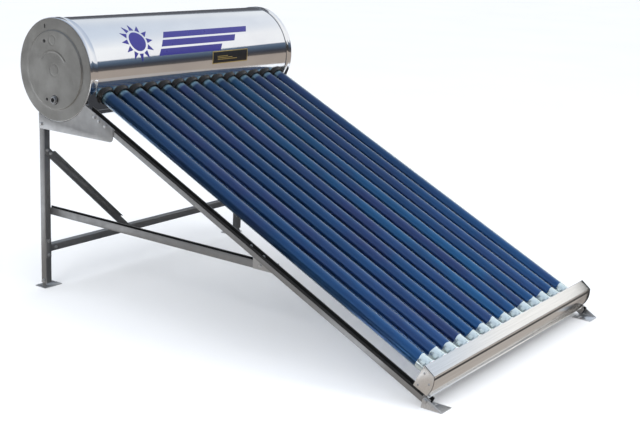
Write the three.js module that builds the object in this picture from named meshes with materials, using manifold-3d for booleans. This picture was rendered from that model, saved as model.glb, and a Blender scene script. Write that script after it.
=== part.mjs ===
// Evacuated-tube solar water heater: a horizontal storage tank on a four-footed steel stand, with fourteen
// glass tubes running down from the tank to a tail rail.
//
// Millimetres, +Z up. X runs along the tank, and the tubes run down towards -Y. The origin is on the ground,
// under the middle of the whole heater. "Down-slope" distances are measured from the tank's axis along the
// tubes, and "normal" distances at right angles to them, away from the ground.

import * as THREE from 'three';
import { mergeVertices } from 'three/addons/utils/BufferGeometryUtils.js';
import Module from 'manifold-3d';

const wasm = await Module();
wasm.setup();

// ---------------------------------------------------------------- driving dimensions

const GAP = 0.3;
const PLATE = 2;

const SLOPE = THREE.MathUtils.degToRad(25.4);

const TANK = { radius: 200, halfLength: 630, height: 905, shellWall: 0.8, segments: 36 };
const CAP = { wall: 1.2, lap: 0.4, skirtDepth: 38, panelRadius: 156, panelRise: 3, bevel: 5, rimRound: 1.4 };
const INNER_TANK = { radius: 150, halfLength: 586, wall: 1.2, dishDepth: 34, segments: 18 };
const PORT = {
  outerRadius: 13.2, boreRadius: 9.5, holeRadius: 13.8, flangeRadius: 17, flangeThickness: 2.7,
  drop: 117, reach: 10, inset: 40,
};

const TUBE = { count: 14, pitch: 82, radius: 29, wall: 3.5, length: 1800, start: 100, segments: 12 };
const TUBE_HOLE = { sheetRadius: 31, foamRadius: 30.6 };
const DUST_RING = { radius: 41, lip: 5, height: 15, noseRadius: 33 };

const CHANNEL_WALL = 2;
const RAIL = { outer: 624, width: 28, top: -33.3, height: 29, start: 215, end: 1960 };
const LEG = { front: 70, depth: 27, bottom: 20, topBelowAxis: 205 };
const SIDE_BRACE = { bottom: 307, height: 30, width: 28, frontEnd: 1080 };
const CROSSBAR = { bottom: 152, height: 30 };
const DIAGONAL = {
  width: 37, depth: 12, strapWidth: 28, topStrap: 26, footStrap: 80,
  topX: -608, topZ: 573, footX: -152, footZ: 167,
};

const SADDLE = { radius: 202.4, flangeWidth: 24, rearReach: 97, drop: 241, frontEnd: 366, corner: 18 };
const GUSSET = { rear: 985, front: 1108, lowFront: 1092, railOverlap: 26 };
const T_PLATE = { edge: 2, barWidth: 26, barBottom: 127, barTop: 209, tabReach: 34, tabMargin: 4 };

const TAIL = {
  back: 1882, bottom: -33, top: 53, crest: [1929, 43], bulge: [1951, 6], chin: 1939, lip: 11, wall: 1.5,
};

const BOLT = {
  radius: 4, holeRadius: 4.4, acrossCorners: 7.5, headHeight: 5.3, nutHeight: 6.5, segments: 12,
};
const REAR_FOOT = {
  front: 68, rear: 128, outer: 631, inner: 541, plate: 3,
  pivotHeight: 30, tabHalf: 8, tabShoulder: 13, tabFootHalf: 15.5, tabRootHalf: 12,
};
const FRONT_FOOT = { front: 1800, rear: 1722, inner: 563, plate: 3, eyeRadius: 11 };
const FRONT_PIVOT = { along: 1945, normal: -48 };

// How many straight steps stand for each round stretch.
const STEPS = { saddle: 18, corner: 4, eye: 6, tailFace: 6, outerDome: 3, innerDome: 2, dish: 3 };

// How far a cutter runs past the face that it cuts.
const CUT = 10;

// ---------------------------------------------------------------- derived dimensions

const SIDES = { left: -1, right: 1 };
const SHEET_INNER_RADIUS = TANK.radius - TANK.shellWall;
const CAP_RADIUS = TANK.radius + CAP.lap + CAP.wall;
const CAP_RIM_X = TANK.halfLength - CAP.panelRise;
const SHELL_END_X = CAP_RIM_X - CAP.wall - 2 * GAP;
const TANK_Y = (FRONT_FOOT.front - CAP_RADIUS) / 2;
const RAIL_INNER = RAIL.outer - RAIL.width;
const GUSSET_INNER = RAIL_INNER - GAP - PLATE;
const LEG_INNER = GUSSET_INNER;
const BRACE_OUTER = LEG_INNER - GAP;
const BRACKET_INNER = RAIL.outer + GAP;
const BRACKET_OUTER = BRACKET_INNER + PLATE;
const PIVOT_Y = LEG.front + (CHANNEL_WALL + LEG.depth) / 2;
const TAIL_END_X = RAIL.outer - TAIL.wall - GAP;
const LIP_TOP = TAIL.bottom + TAIL.wall;
const PORT_INNER_X = INNER_TANK.halfLength - PORT.inset;

// ---------------------------------------------------------------- geometry helpers

const AXIS = {
  x: [new THREE.Vector3(0, 1, 0), new THREE.Vector3(0, 0, 1), new THREE.Vector3(1, 0, 0)],
  y: [new THREE.Vector3(0, 0, 1), new THREE.Vector3(1, 0, 0), new THREE.Vector3(0, 1, 0)],
  z: [new THREE.Vector3(1, 0, 0), new THREE.Vector3(0, 1, 0), new THREE.Vector3(0, 0, 1)],
};

/** A flat outline extruded along an axis. Its points are [y, z] for x, [z, x] for y and [x, y] for z. */
function slab(axis, outline, from, to) {
  const shape = new THREE.Shape(outline.map(([a, b]) => new THREE.Vector2(a, b)));
  const start = Math.min(from, to);
  const geometry = new THREE.ExtrudeGeometry(shape, { depth: Math.abs(to - from), bevelEnabled: false });
  geometry.translate(0, 0, start);
  return geometry.applyMatrix4(new THREE.Matrix4().makeBasis(...AXIS[axis]));
}

/** Points on an arc about [a, b], from one angle to another, both ends included. */
function arc(centre, radius, fromAngle, toAngle, steps) {
  return Array.from({ length: steps + 1 }, (_, i) => {
    const angle = fromAngle + ((toAngle - fromAngle) * i) / steps;
    return [centre[0] + radius * Math.cos(angle), centre[1] + radius * Math.sin(angle)];
  });
}

/** A solid rod, or a prism when it has few segments. */
function rod(axis, centre, radius, from, to, segments) {
  const round = arc(centre, radius, 0, 2 * Math.PI, segments).slice(0, -1);
  return slab(axis, round, from, to);
}

function box(xRange, yRange, zRange) {
  const [y0, y1] = yRange;
  const [z0, z1] = zRange;
  return slab('x', [[y0, z0], [y1, z0], [y1, z1], [y0, z1]], xRange[0], xRange[1]);
}

/** A body of revolution about Y from [radius, height] points. */
function turned(profile, segments) {
  return new THREE.LatheGeometry(profile.map(([r, h]) => new THREE.Vector2(r, h)), segments);
}

/** A body of revolution about X, so that heights become distances along X. */
function turnedAlongX(profile, segments) {
  return turned(profile, segments).rotateZ(-Math.PI / 2);
}

/** The outline of a bent sheet: a path and the same path set off to its left by the thickness. */
function sheet(path, thickness) {
  const leftOf = (from, to) => {
    const length = Math.hypot(to[0] - from[0], to[1] - from[1]);
    return [(from[1] - to[1]) / length, (to[0] - from[0]) / length];
  };
  const offset = path.map((point, i) => {
    const entering = leftOf(path[Math.max(i - 1, 0)], path[Math.max(i, 1)]);
    const leaving = leftOf(path[Math.min(i, path.length - 2)], path[Math.min(i + 1, path.length - 1)]);
    const mitre = thickness / (1 + entering[0] * leaving[0] + entering[1] * leaving[1]);
    return [point[0] + mitre * (entering[0] + leaving[0]), point[1] + mitre * (entering[1] + leaving[1])];
  });
  return [...path, ...offset.reverse()];
}

/** A U section whose web lies at the first coordinate "web", open at "mouth", between b0 and b1. */
function channel(web, mouth, b0, b1) {
  const path = [[mouth, b1], [web, b1], [web, b0], [mouth, b0]];
  return sheet(path, CHANNEL_WALL * Math.sign(mouth - web) * Math.sign(b1 - b0));
}

function toSolid(geometry) {
  const bare = geometry.clone();
  bare.deleteAttribute('normal');
  bare.deleteAttribute('uv');
  const merged = mergeVertices(bare, 1e-3);
  const corners = merged.index.array;
  const triangles = [];
  for (let i = 0; i < corners.length; i += 3) {
    const [a, b, c] = [corners[i], corners[i + 1], corners[i + 2]];
    if (a !== b && b !== c && c !== a) {
      triangles.push(a, b, c);
    }
  }
  const vertProperties = merged.attributes.position.array;
  const triVerts = Uint32Array.from(triangles);
  return new wasm.Manifold(new wasm.Mesh({ numProp: 3, vertProperties, triVerts }));
}

function toGeometry(solid) {
  const mesh = solid.getMesh();
  const geometry = new THREE.BufferGeometry();
  geometry.setAttribute('position', new THREE.BufferAttribute(mesh.vertProperties, 3));
  geometry.setIndex(new THREE.BufferAttribute(mesh.triVerts, 1));
  geometry.computeVertexNormals();
  return geometry;
}

function cut(geometry, tools) {
  return toGeometry(tools.reduce((solid, tool) => solid.subtract(toSolid(tool)), toSolid(geometry)));
}

function join(geometry, ...others) {
  return toGeometry(others.reduce((solid, other) => solid.add(toSolid(other)), toSolid(geometry)));
}

/** A point given down-slope and normal to the slope, as [y, z] from the tank's axis. */
function fromSlope(along, normal) {
  return [
    -along * Math.cos(SLOPE) - normal * Math.sin(SLOPE),
    -along * Math.sin(SLOPE) + normal * Math.cos(SLOPE),
  ];
}

// ---------------------------------------------------------------- materials

function paint(color, roughness, metalness) {
  return new THREE.MeshStandardMaterial({ color, roughness, metalness });
}

const mirrorSteel = () => paint(0xc9d2dc, 0.08, 1);
const brushedSteel = () => paint(0x8d8b85, 0.38, 0.9);
const innerSteel = () => paint(0xb4b2ac, 0.35, 0.9);
const foam = () => paint(0xe3cf8e, 0.95, 0);
const coatedGlass = () => paint(0x1c3470, 0.08, 0.2);
const blackRubber = () => paint(0x24201f, 0.85, 0);
const polishedRail = () => paint(0xb9b5ae, 0.22, 0.95);
const framePaint = () => paint(0x85868a, 0.45, 0.4);
const zincSteel = () => paint(0xb7babd, 0.35, 0.9);
const portSteel = () => paint(0x9c9a94, 0.3, 0.9);

const heater = new THREE.Group();
const ground = new THREE.Group();
const tank = new THREE.Group();
const slope = new THREE.Group();
ground.position.y = TANK_Y;
tank.position.set(0, TANK_Y, TANK.height);
slope.position.copy(tank.position);
slope.rotation.x = SLOPE;
heater.add(ground, tank, slope);

/** Adds a named part to a group. In "ground", z is a height, and y is measured from the tank's axis. */
function add(group, name, geometry, material) {
  const mesh = new THREE.Mesh(geometry, material);
  mesh.name = name;
  group.add(mesh);
}

const tubeX = (i) => (i - (TUBE.count - 1) / 2) * TUBE.pitch;

// ---------------------------------------------------------------- tank

/** Cutters for the fourteen tube holes, between two down-slope distances, in the tank's frame. */
function tubeHoles(radius, from, to) {
  return Array.from({ length: TUBE.count }, (_, i) => {
    const hole = rod('y', [0, tubeX(i)], radius, -to, -from, TUBE.segments);
    return hole.rotateX(SLOPE);
  });
}

function portHole(side) {
  const ends = [PORT_INNER_X - CUT, TANK.halfLength + CUT];
  return rod('x', [0, -PORT.drop], PORT.holeRadius, side * ends[0], side * ends[1], TUBE.segments);
}

/** The inner tank's outside, a drum with elliptical ends, grown or shrunk by a wall or a gap. */
function innerTankBlank(grow) {
  const r = INNER_TANK.radius + grow;
  const end = INNER_TANK.halfLength + grow;
  const shoulder = end - INNER_TANK.dishDepth;
  const quarter = arc([0, 0], 1, 0, Math.PI / 2, STEPS.dish);
  const dish = quarter.map(([out, up]) => [r * out, shoulder + INNER_TANK.dishDepth * up]);
  const opposite = dish.map(([radius, x]) => [radius, -x]).reverse();
  return turnedAlongX([...opposite, ...dish], INNER_TANK.segments);
}

function addTank() {
  const shell = turnedAlongX([
    [SHEET_INNER_RADIUS, -SHELL_END_X], [TANK.radius, -SHELL_END_X], [TANK.radius, SHELL_END_X],
    [SHEET_INNER_RADIUS, SHELL_END_X], [SHEET_INNER_RADIUS, -SHELL_END_X],
  ], TANK.segments);
  const shellHoles = tubeHoles(TUBE_HOLE.sheetRadius, SHEET_INNER_RADIUS - CUT, TANK.radius + CUT);
  add(tank, 'tank_shell', cut(shell, shellHoles), mirrorSteel());

  const inner = cut(innerTankBlank(0), [
    innerTankBlank(-INNER_TANK.wall),
    ...tubeHoles(TUBE_HOLE.sheetRadius, TUBE.start - CUT, INNER_TANK.radius + CUT),
    portHole(-1),
    portHole(1),
  ]);
  add(tank, 'inner_tank', inner, innerSteel());

  const foamRadius = SHEET_INNER_RADIUS - GAP;
  const foamBlank = turnedAlongX([
    [0, -SHELL_END_X], [foamRadius, -SHELL_END_X], [foamRadius, SHELL_END_X], [0, SHELL_END_X],
  ], INNER_TANK.segments);
  const insulation = cut(foamBlank, [
    innerTankBlank(GAP),
    ...tubeHoles(TUBE_HOLE.foamRadius, TUBE.start - CUT, TANK.radius + CUT),
    portHole(-1),
    portHole(1),
  ]);
  add(tank, 'foam_insulation', insulation, foam());
}

/** A pressed cap: a raised round panel, a flat rim and a skirt that slips over the shell. */
function addEndCap(name, side) {
  const skirtInner = CAP_RADIUS - CAP.wall;
  const outline = [
    [0, TANK.halfLength - CAP.wall],
    [CAP.panelRadius - CAP.bevel, TANK.halfLength - CAP.wall],
    [CAP.panelRadius, CAP_RIM_X - CAP.wall],
    [skirtInner, CAP_RIM_X - CAP.wall],
    [skirtInner, CAP_RIM_X - CAP.skirtDepth],
    [CAP_RADIUS, CAP_RIM_X - CAP.skirtDepth],
    [CAP_RADIUS, CAP_RIM_X - CAP.rimRound],
    [CAP_RADIUS - CAP.rimRound, CAP_RIM_X],
    [CAP.panelRadius, CAP_RIM_X],
    [CAP.panelRadius - CAP.bevel, TANK.halfLength],
    [0, TANK.halfLength],
  ];
  const cap = turnedAlongX(outline, TANK.segments);
  if (side < 0) {
    cap.rotateZ(Math.PI);
  }
  add(tank, `tank_end_cap_${name}`, cut(cap, [portHole(side)]), brushedSteel());
}

/** A threaded stub through cap, foam and inner tank, with a flange against the cap. */
function addPort(name, side) {
  const flange = TANK.halfLength + GAP;
  const end = TANK.halfLength + PORT.reach;
  const profile = [
    [PORT.boreRadius, PORT_INNER_X], [PORT.outerRadius, PORT_INNER_X],
    [PORT.outerRadius, flange], [PORT.flangeRadius, flange],
    [PORT.flangeRadius, flange + PORT.flangeThickness], [PORT.outerRadius, flange + PORT.flangeThickness],
    [PORT.outerRadius, end], [PORT.boreRadius, end], [PORT.boreRadius, PORT_INNER_X],
  ];
  const port = turnedAlongX(profile, TUBE.segments);
  if (side < 0) {
    port.rotateZ(Math.PI);
  }
  port.translate(0, 0, -PORT.drop);
  add(tank, `water_port_${name}`, port, portSteel());
}

/** A plate under the tank's end with a saddle edge, and a flange along that edge under the tank. */
function addSaddleBracket(name, side) {
  const railTop = Math.sqrt(SADDLE.radius ** 2 - RAIL.top ** 2);
  const [frontY, frontZ] = fromSlope(railTop, RAIL.top);
  const rearAngle = Math.asin(SADDLE.rearReach / SADDLE.radius) - Math.PI / 2;
  const frontAngle = Math.atan2(frontZ, frontY);
  const saddle = arc([0, 0], SADDLE.radius, rearAngle, frontAngle, STEPS.saddle);
  const [nose, noseTop] = fromSlope(SADDLE.frontEnd, RAIL.top);
  const cornerCentre = [nose + SADDLE.corner, SADDLE.corner - SADDLE.drop];
  const corner = arc(cornerCentre, SADDLE.corner, -Math.PI, -Math.PI / 2, STEPS.corner);
  const plate = [...saddle, [nose, noseTop], ...corner, [SADDLE.rearReach, -SADDLE.drop]];
  const web = slab('x', plate, side * BRACKET_INNER, side * BRACKET_OUTER);
  const strip = sheet(saddle, PLATE);
  const flange = slab('x', strip, side * (BRACKET_INNER - SADDLE.flangeWidth), side * BRACKET_OUTER);
  add(tank, `tank_bracket_${name}`, join(web, flange), framePaint());
}

// ---------------------------------------------------------------- tubes and tail rail

function addVacuumTube(number, x) {
  const tip = -(TUBE.start + TUBE.length);
  const open = -TUBE.start;
  const inner = TUBE.radius - TUBE.wall;
  const domeCentre = [0, tip + TUBE.radius];
  const outerDome = arc(domeCentre, TUBE.radius, -Math.PI / 2, 0, STEPS.outerDome);
  const innerDome = arc(domeCentre, inner, 0, -Math.PI / 2, STEPS.innerDome);
  outerDome[0][0] = 0;
  innerDome[STEPS.innerDome][0] = 0;
  const profile = [...outerDome, [TUBE.radius, open], [inner, open], ...innerDome];
  const tube = turned(profile, TUBE.segments).translate(x, 0, 0);
  add(slope, `vacuum_tube_${number}`, tube, coatedGlass());
}

/** A rubber ring round a tube, seated on the shell. */
function addDustRing(number, x) {
  const seat = -(TANK.radius + GAP);
  const bore = TUBE.radius + GAP;
  const profile = [
    [bore, seat], [bore, seat - DUST_RING.height], [DUST_RING.noseRadius, seat - DUST_RING.height],
    [DUST_RING.radius, seat - DUST_RING.lip], [DUST_RING.radius, seat], [bore, seat],
  ];
  const ring = turned(profile, TUBE.segments).translate(x, 0, 0);
  add(slope, `dust_ring_${number}`, ring, blackRubber());
}

/** The tail rail's outside, from its back's foot over the top to the chin, as [-down-slope, normal]. */
function tailPath() {
  const front = new THREE.QuadraticBezierCurve(
    new THREE.Vector2(-TAIL.crest[0], TAIL.crest[1]),
    new THREE.Vector2(-TAIL.bulge[0], TAIL.bulge[1]),
    new THREE.Vector2(-TAIL.chin, LIP_TOP),
  );
  const face = front.getPoints(STEPS.tailFace).map((point) => [point.x, point.y]);
  return [[-TAIL.back, TAIL.bottom], [-TAIL.back, TAIL.top], ...face];
}

function addTailRail() {
  const path = [...tailPath(), [-(TAIL.chin + TAIL.lip), LIP_TOP]];
  const rail = slab('x', sheet(path, TAIL.wall), -TAIL_END_X, TAIL_END_X);
  const holes = Array.from({ length: TUBE.count }, (_, i) => (
    rod('y', [0, tubeX(i)], TUBE_HOLE.sheetRadius, -TAIL.back - CUT, -TAIL.back + CUT, TUBE.segments)
  ));
  add(slope, 'tail_rail', cut(rail, holes), polishedRail());
  for (const [name, side] of Object.entries(SIDES)) {
    const plate = slab('x', tailPath(), side * (TAIL_END_X + GAP), side * RAIL.outer);
    add(slope, `tail_end_plate_${name}`, plate, polishedRail());
  }
}

// ---------------------------------------------------------------- stand

/** A cutter for a foot's pivot hole, through what is within reach of the stand's outer faces. */
function pivotHole(side, y, z) {
  const [from, to] = [side * (RAIL.outer - CUT), side * (RAIL.outer + CUT)];
  return rod('x', [y, z], BOLT.holeRadius, from, to, BOLT.segments);
}

function addFrontRail(name, side) {
  const bottom = RAIL.top - RAIL.height;
  const section = channel(bottom, RAIL.top, side * RAIL_INNER, side * RAIL.outer);
  const rail = slab('y', section, -RAIL.end, -RAIL.start);
  const hole = pivotHole(side, -FRONT_PIVOT.along, FRONT_PIVOT.normal);
  add(slope, `front_rail_${name}`, cut(rail, [hole]), framePaint());
}

function addRearLeg(name, side) {
  const rear = LEG.front + LEG.depth;
  const section = channel(LEG.front, rear, side * LEG_INNER, side * RAIL.outer).map(([y, x]) => [x, y]);
  const leg = slab('z', section, LEG.bottom, TANK.height - LEG.topBelowAxis);
  const hole = pivotHole(side, PIVOT_Y, REAR_FOOT.pivotHeight);
  add(ground, `rear_leg_${name}`, cut(leg, [hole]), framePaint());
}

function addSideBrace(name, side) {
  const section = channel(
    SIDE_BRACE.bottom, SIDE_BRACE.bottom + SIDE_BRACE.height,
    side * (BRACE_OUTER - SIDE_BRACE.width), side * BRACE_OUTER,
  );
  const brace = slab('y', section, -SIDE_BRACE.frontEnd, LEG.front + LEG.depth);
  add(ground, `side_brace_${name}`, brace, framePaint());
}

/** A plate between a side brace and the inside of a front rail. */
function addGusset(name, side) {
  const overlap = RAIL.top - RAIL.height + GUSSET.railOverlap;
  const onRail = (y) => {
    const along = (y - overlap * Math.sin(SLOPE)) / Math.cos(SLOPE);
    return [-y, TANK.height + fromSlope(along, overlap)[1]];
  };
  const outline = [
    [-GUSSET.rear, SIDE_BRACE.bottom], onRail(GUSSET.rear), onRail(GUSSET.front),
    [-GUSSET.lowFront, SIDE_BRACE.bottom],
  ];
  const plate = slab('x', outline, side * GUSSET_INNER, side * (GUSSET_INNER + PLATE));
  add(ground, `gusset_plate_${name}`, plate, framePaint());
}

function addCrossbar() {
  const section = channel(
    LEG.front, LEG.front + LEG.depth, CROSSBAR.bottom, CROSSBAR.bottom + CROSSBAR.height,
  );
  add(ground, 'rear_crossbar', slab('x', section, -BRACE_OUTER, BRACE_OUTER), framePaint());
}

/** A T-shaped plate that ties the crossbar to the front of a rear leg. */
function addTPlate(name, side) {
  const outer = RAIL.outer - T_PLATE.edge;
  const inner = outer - T_PLATE.barWidth;
  const low = CROSSBAR.bottom + T_PLATE.tabMargin;
  const high = CROSSBAR.bottom + CROSSBAR.height - T_PLATE.tabMargin;
  const outline = [
    [T_PLATE.barBottom, outer], [T_PLATE.barTop, outer], [T_PLATE.barTop, inner], [high, inner],
    [high, inner - T_PLATE.tabReach], [low, inner - T_PLATE.tabReach], [low, inner],
    [T_PLATE.barBottom, inner],
  ].map(([z, x]) => [z, side * x]);
  const plate = slab('y', outline, LEG.front - GAP - PLATE, LEG.front - GAP);
  add(ground, `crossbar_t_plate_${name}`, plate, framePaint());
}

/** A channel from the left rear leg down to the crossbar, on a narrower strap that is bolted at both ends. */
function addDiagonal() {
  const run = DIAGONAL.footX - DIAGONAL.topX;
  const fall = DIAGONAL.topZ - DIAGONAL.footZ;
  const length = Math.hypot(run, fall);
  const half = DIAGONAL.width / 2;
  const section = channel(-GAP, -GAP - DIAGONAL.depth, -half, half);
  const body = slab('x', section, DIAGONAL.topStrap, length - DIAGONAL.footStrap);
  const wide = DIAGONAL.strapWidth / 2;
  const strap = box([-wide, length + wide], [-GAP - CHANNEL_WALL, -GAP], [-wide, wide]);
  const brace = join(body, strap);
  brace.rotateY(Math.atan2(fall, run));
  brace.translate(DIAGONAL.topX, LEG.front, DIAGONAL.topZ);
  add(ground, 'rear_diagonal_brace', brace, framePaint());
}

// ---------------------------------------------------------------- feet and their pivots

/** A hexagon-headed bolt along X with its nut, through plates between two distances from the middle. */
function addPivotBolt(name, side, y, z, outerFace, innerFace) {
  const head = side * (outerFace + GAP);
  const nut = side * (innerFace - GAP);
  const shank = rod('x', [y, z], BOLT.radius, head, nut, BOLT.segments);
  const hexHead = rod('x', [y, z], BOLT.acrossCorners, head, head + side * BOLT.headHeight, 6);
  const hexNut = rod('x', [y, z], BOLT.acrossCorners, nut, nut - side * BOLT.nutHeight, 6);
  add(ground, `${name}_bolt`, join(shank, hexHead, hexNut), zincSteel());
}

/** A flat plate with an upright tab inside the leg's outer flange. */
function addRearFoot(name, side) {
  const tabOuter = RAIL.outer - CHANNEL_WALL - GAP;
  const tabInner = tabOuter - PLATE;
  const { tabHalf, tabShoulder, tabFootHalf, tabRootHalf, pivotHeight, plate } = REAR_FOOT;
  const eye = arc([PIVOT_Y, pivotHeight], tabHalf, 0, Math.PI, STEPS.eye);
  const tabOutline = [
    ...eye, [PIVOT_Y - tabHalf, tabShoulder], [PIVOT_Y - tabFootHalf, plate],
    [PIVOT_Y - tabRootHalf, plate / 2], [PIVOT_Y + tabRootHalf, plate / 2],
    [PIVOT_Y + tabFootHalf, plate], [PIVOT_Y + tabHalf, tabShoulder],
  ];
  const tab = slab('x', tabOutline, side * tabInner, side * tabOuter);
  const base = box(
    [side * REAR_FOOT.inner, side * REAR_FOOT.outer], [REAR_FOOT.front, REAR_FOOT.rear], [0, plate],
  );
  const foot = cut(join(base, tab), [pivotHole(side, PIVOT_Y, pivotHeight)]);
  add(ground, `rear_foot_${name}`, foot, zincSteel());
  addPivotBolt(`rear_foot_${name}`, side, PIVOT_Y, pivotHeight, RAIL.outer, tabInner);
}

/** A flat plate with a triangular web outside the front rail's lower end. */
function addFrontFoot(name, side) {
  const [pivotY, drop] = fromSlope(FRONT_PIVOT.along, FRONT_PIVOT.normal);
  const pivotZ = TANK.height + drop;
  const { plate, eyeRadius } = FRONT_FOOT;
  const toeAngle = Math.atan2(pivotZ - plate, FRONT_FOOT.front + pivotY);
  const eye = arc([pivotY, pivotZ], eyeRadius, 0, Math.PI / 2 + toeAngle, STEPS.eye);
  const webOutline = [
    [-FRONT_FOOT.rear, 0], [-FRONT_FOOT.rear, plate], ...eye, [-FRONT_FOOT.front, plate],
    [-FRONT_FOOT.front, 0],
  ];
  const web = slab('x', webOutline, side * BRACKET_INNER, side * BRACKET_OUTER);
  const base = box(
    [side * FRONT_FOOT.inner, side * BRACKET_OUTER], [-FRONT_FOOT.front, -FRONT_FOOT.rear], [0, plate],
  );
  const foot = cut(join(base, web), [pivotHole(side, pivotY, pivotZ)]);
  add(ground, `front_foot_${name}`, foot, zincSteel());
  addPivotBolt(`front_foot_${name}`, side, pivotY, pivotZ, BRACKET_OUTER, RAIL.outer - CHANNEL_WALL);
}

// ---------------------------------------------------------------- assembly

addTank();
for (const [name, side] of Object.entries(SIDES)) {
  addEndCap(name, side);
  addPort(name, side);
  addSaddleBracket(name, side);
  addFrontRail(name, side);
  addRearLeg(name, side);
  addSideBrace(name, side);
  addGusset(name, side);
  addTPlate(name, side);
  addRearFoot(name, side);
  addFrontFoot(name, side);
}
addCrossbar();
addDiagonal();
addTailRail();
for (let i = 0; i < TUBE.count; i += 1) {
  const number = String(i + 1).padStart(2, '0');
  addVacuumTube(number, tubeX(i));
  addDustRing(number, tubeX(i));
}

export default heater;
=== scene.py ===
import math
import random

import bmesh
import bpy
from mathutils import Matrix, Vector


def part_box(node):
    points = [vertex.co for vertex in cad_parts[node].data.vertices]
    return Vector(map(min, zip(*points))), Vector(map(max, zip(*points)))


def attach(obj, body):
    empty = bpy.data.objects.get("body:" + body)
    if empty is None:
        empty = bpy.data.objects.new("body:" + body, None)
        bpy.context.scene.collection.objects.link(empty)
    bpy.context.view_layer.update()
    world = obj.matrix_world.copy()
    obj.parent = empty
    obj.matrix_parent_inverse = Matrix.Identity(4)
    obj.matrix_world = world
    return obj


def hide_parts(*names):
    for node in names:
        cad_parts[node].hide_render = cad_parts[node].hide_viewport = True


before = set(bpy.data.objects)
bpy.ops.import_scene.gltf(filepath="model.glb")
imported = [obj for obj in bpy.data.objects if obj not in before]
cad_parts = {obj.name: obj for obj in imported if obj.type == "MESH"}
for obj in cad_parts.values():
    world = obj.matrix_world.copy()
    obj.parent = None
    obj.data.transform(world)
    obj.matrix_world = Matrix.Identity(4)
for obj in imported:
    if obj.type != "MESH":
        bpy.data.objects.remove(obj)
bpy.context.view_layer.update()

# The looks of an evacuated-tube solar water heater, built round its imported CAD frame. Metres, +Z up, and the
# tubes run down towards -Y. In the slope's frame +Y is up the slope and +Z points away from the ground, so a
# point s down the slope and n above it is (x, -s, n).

# ---------------------------------------------------------------- sizes and places

STAND = "tank_and_stand"
SIDES = {"left": -1, "right": 1}
TUBES = [f"{number:02d}" for number in range(1, 15)]
SLOPE = math.radians(25.4)
GAP = 0.0003
PLATE = 0.002
BEND = 0.0032
SHEET_EDGE = 0.0003
PLATE_EDGE = 0.0004
QUARTER = math.pi / 2

shell_low, shell_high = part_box("tank_shell")
cap_low, cap_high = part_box("tank_end_cap_right")
rail_low, rail_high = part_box("front_rail_right")
leg_low, leg_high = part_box("rear_leg_right")
brace_low, brace_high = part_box("side_brace_right")
crossbar_low, crossbar_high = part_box("rear_crossbar")
tail_low, tail_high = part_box("tail_rail")
gusset_low, gusset_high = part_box("gusset_plate_right")
t_plate_low, t_plate_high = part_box("crossbar_t_plate_right")

TANK_AXIS = (shell_low + shell_high) / 2
TANK_RADIUS = (shell_high.z - shell_low.z) / 2
SHELL_END = shell_high.x
SHELL_WALL = 0.0008
CAP = {
    "radius": (cap_high.z - cap_low.z) / 2, "face": cap_high.x, "skirt_end": cap_low.x, "wall": 0.0012,
    "panel": 0.156, "rise": 0.003, "bevel": 0.005, "corner": 0.0035, "bead": 0.009, "hem": 0.004,
}
CAP_RIM = CAP["face"] - CAP["rise"]
PORT = {
    "outer": 0.0132, "bore": 0.0095, "hole": 0.0138, "flange": 0.017, "flange_height": 0.003, "drop": 0.117,
    "thread": 0.0018, "thread_depth": 0.0011,
}

TUBE = {"radius": 0.029, "wall": 0.0016, "start": 0.100, "straight": 1.860, "end": 1.8985, "tip": 0.0055}
ABSORBER = {"radius": 0.0266, "start": 0.102, "end": 1.852}
GETTER = {"top": 1.834, "clear": 0.0002, "film": 0.0003, "ripple": 0.0012}
SEAL = {"radius": 0.0385, "lip": 0.0032, "height": 0.013, "nose": 0.0335, "neck": 0.0308, "depth": 0.004}
CUP = {"radius": 0.0312, "flange": 0.0332, "mouth": 1.870, "floor": 1.904, "wall": 0.0014}

RAIL = {"top": -0.0333, "height": 0.029, "start": 0.215, "end": 1.960}
RAIL_WEB = RAIL["top"] - RAIL["height"]
TAIL = {
    "back": 1.882, "bottom": -0.033, "top": 0.053, "crest": (1.929, 0.043), "bulge": (1.951, 0.006),
    "chin": 1.939, "lip": 0.011, "wall": 0.0015, "hole": 0.031,
}
LIP_TOP = TAIL["bottom"] + TAIL["wall"]
SADDLE = {
    "radius": 0.2024, "flange": 0.024, "rear": 0.097, "drop": 0.241, "front": 0.366, "corner": 0.018,
}
DIAGONAL = {
    "width": 0.037, "depth": 0.012, "strap": 0.028, "top_strap": 0.026, "foot_strap": 0.080,
    "top": (-0.608, 0.573), "foot": (-0.152, 0.167),
}

TANK = Matrix.Translation(TANK_AXIS)
SLOPE_FRAME = TANK @ Matrix.Rotation(SLOPE, 4, "X")
GROUND = Matrix.Translation((0, TANK_AXIS.y, 0))


def along_tube(number):
    """A frame on the slope, with +Z down the tube and +Y away from the ground."""
    return SLOPE_FRAME @ Matrix.Translation((tube_x(number), 0, 0)) @ Matrix.Rotation(QUARTER, 4, "X")


def tube_x(number):
    low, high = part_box(f"vacuum_tube_{number}")
    return (low.x + high.x) / 2


def facing(side):
    """A frame on the tank's axis, with +Z out through one end, +Y to the back and +X up (left) or down."""
    return TANK @ Matrix.Rotation(side * QUARTER, 4, "Y")


def on_cap(side, up, back, out):
    """The frame of an end, moved to a place on its cap, given upwards, backwards and outwards."""
    return facing(side) @ Matrix.Translation((-side * up, back, out))


def distances(node):
    """How far a CAD node's nearer and farther sides are from the heater's middle plane."""
    low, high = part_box(node)
    return sorted((abs(low.x), abs(high.x)))


# ---------------------------------------------------------------- outlines


def evenly(start, end, steps):
    return [start + (end - start) * k / steps for k in range(steps + 1)]


def swapped(points):
    return [(b, a) for a, b in points]


def arc(centre, radius, start, end, steps):
    angles = evenly(start, end, steps)
    return [(centre[0] + radius * math.cos(a), centre[1] + radius * math.sin(a)) for a in angles]


def circle(centre, radius, steps):
    return arc(centre, radius, 0, 2 * math.pi, steps)[:-1]


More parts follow.
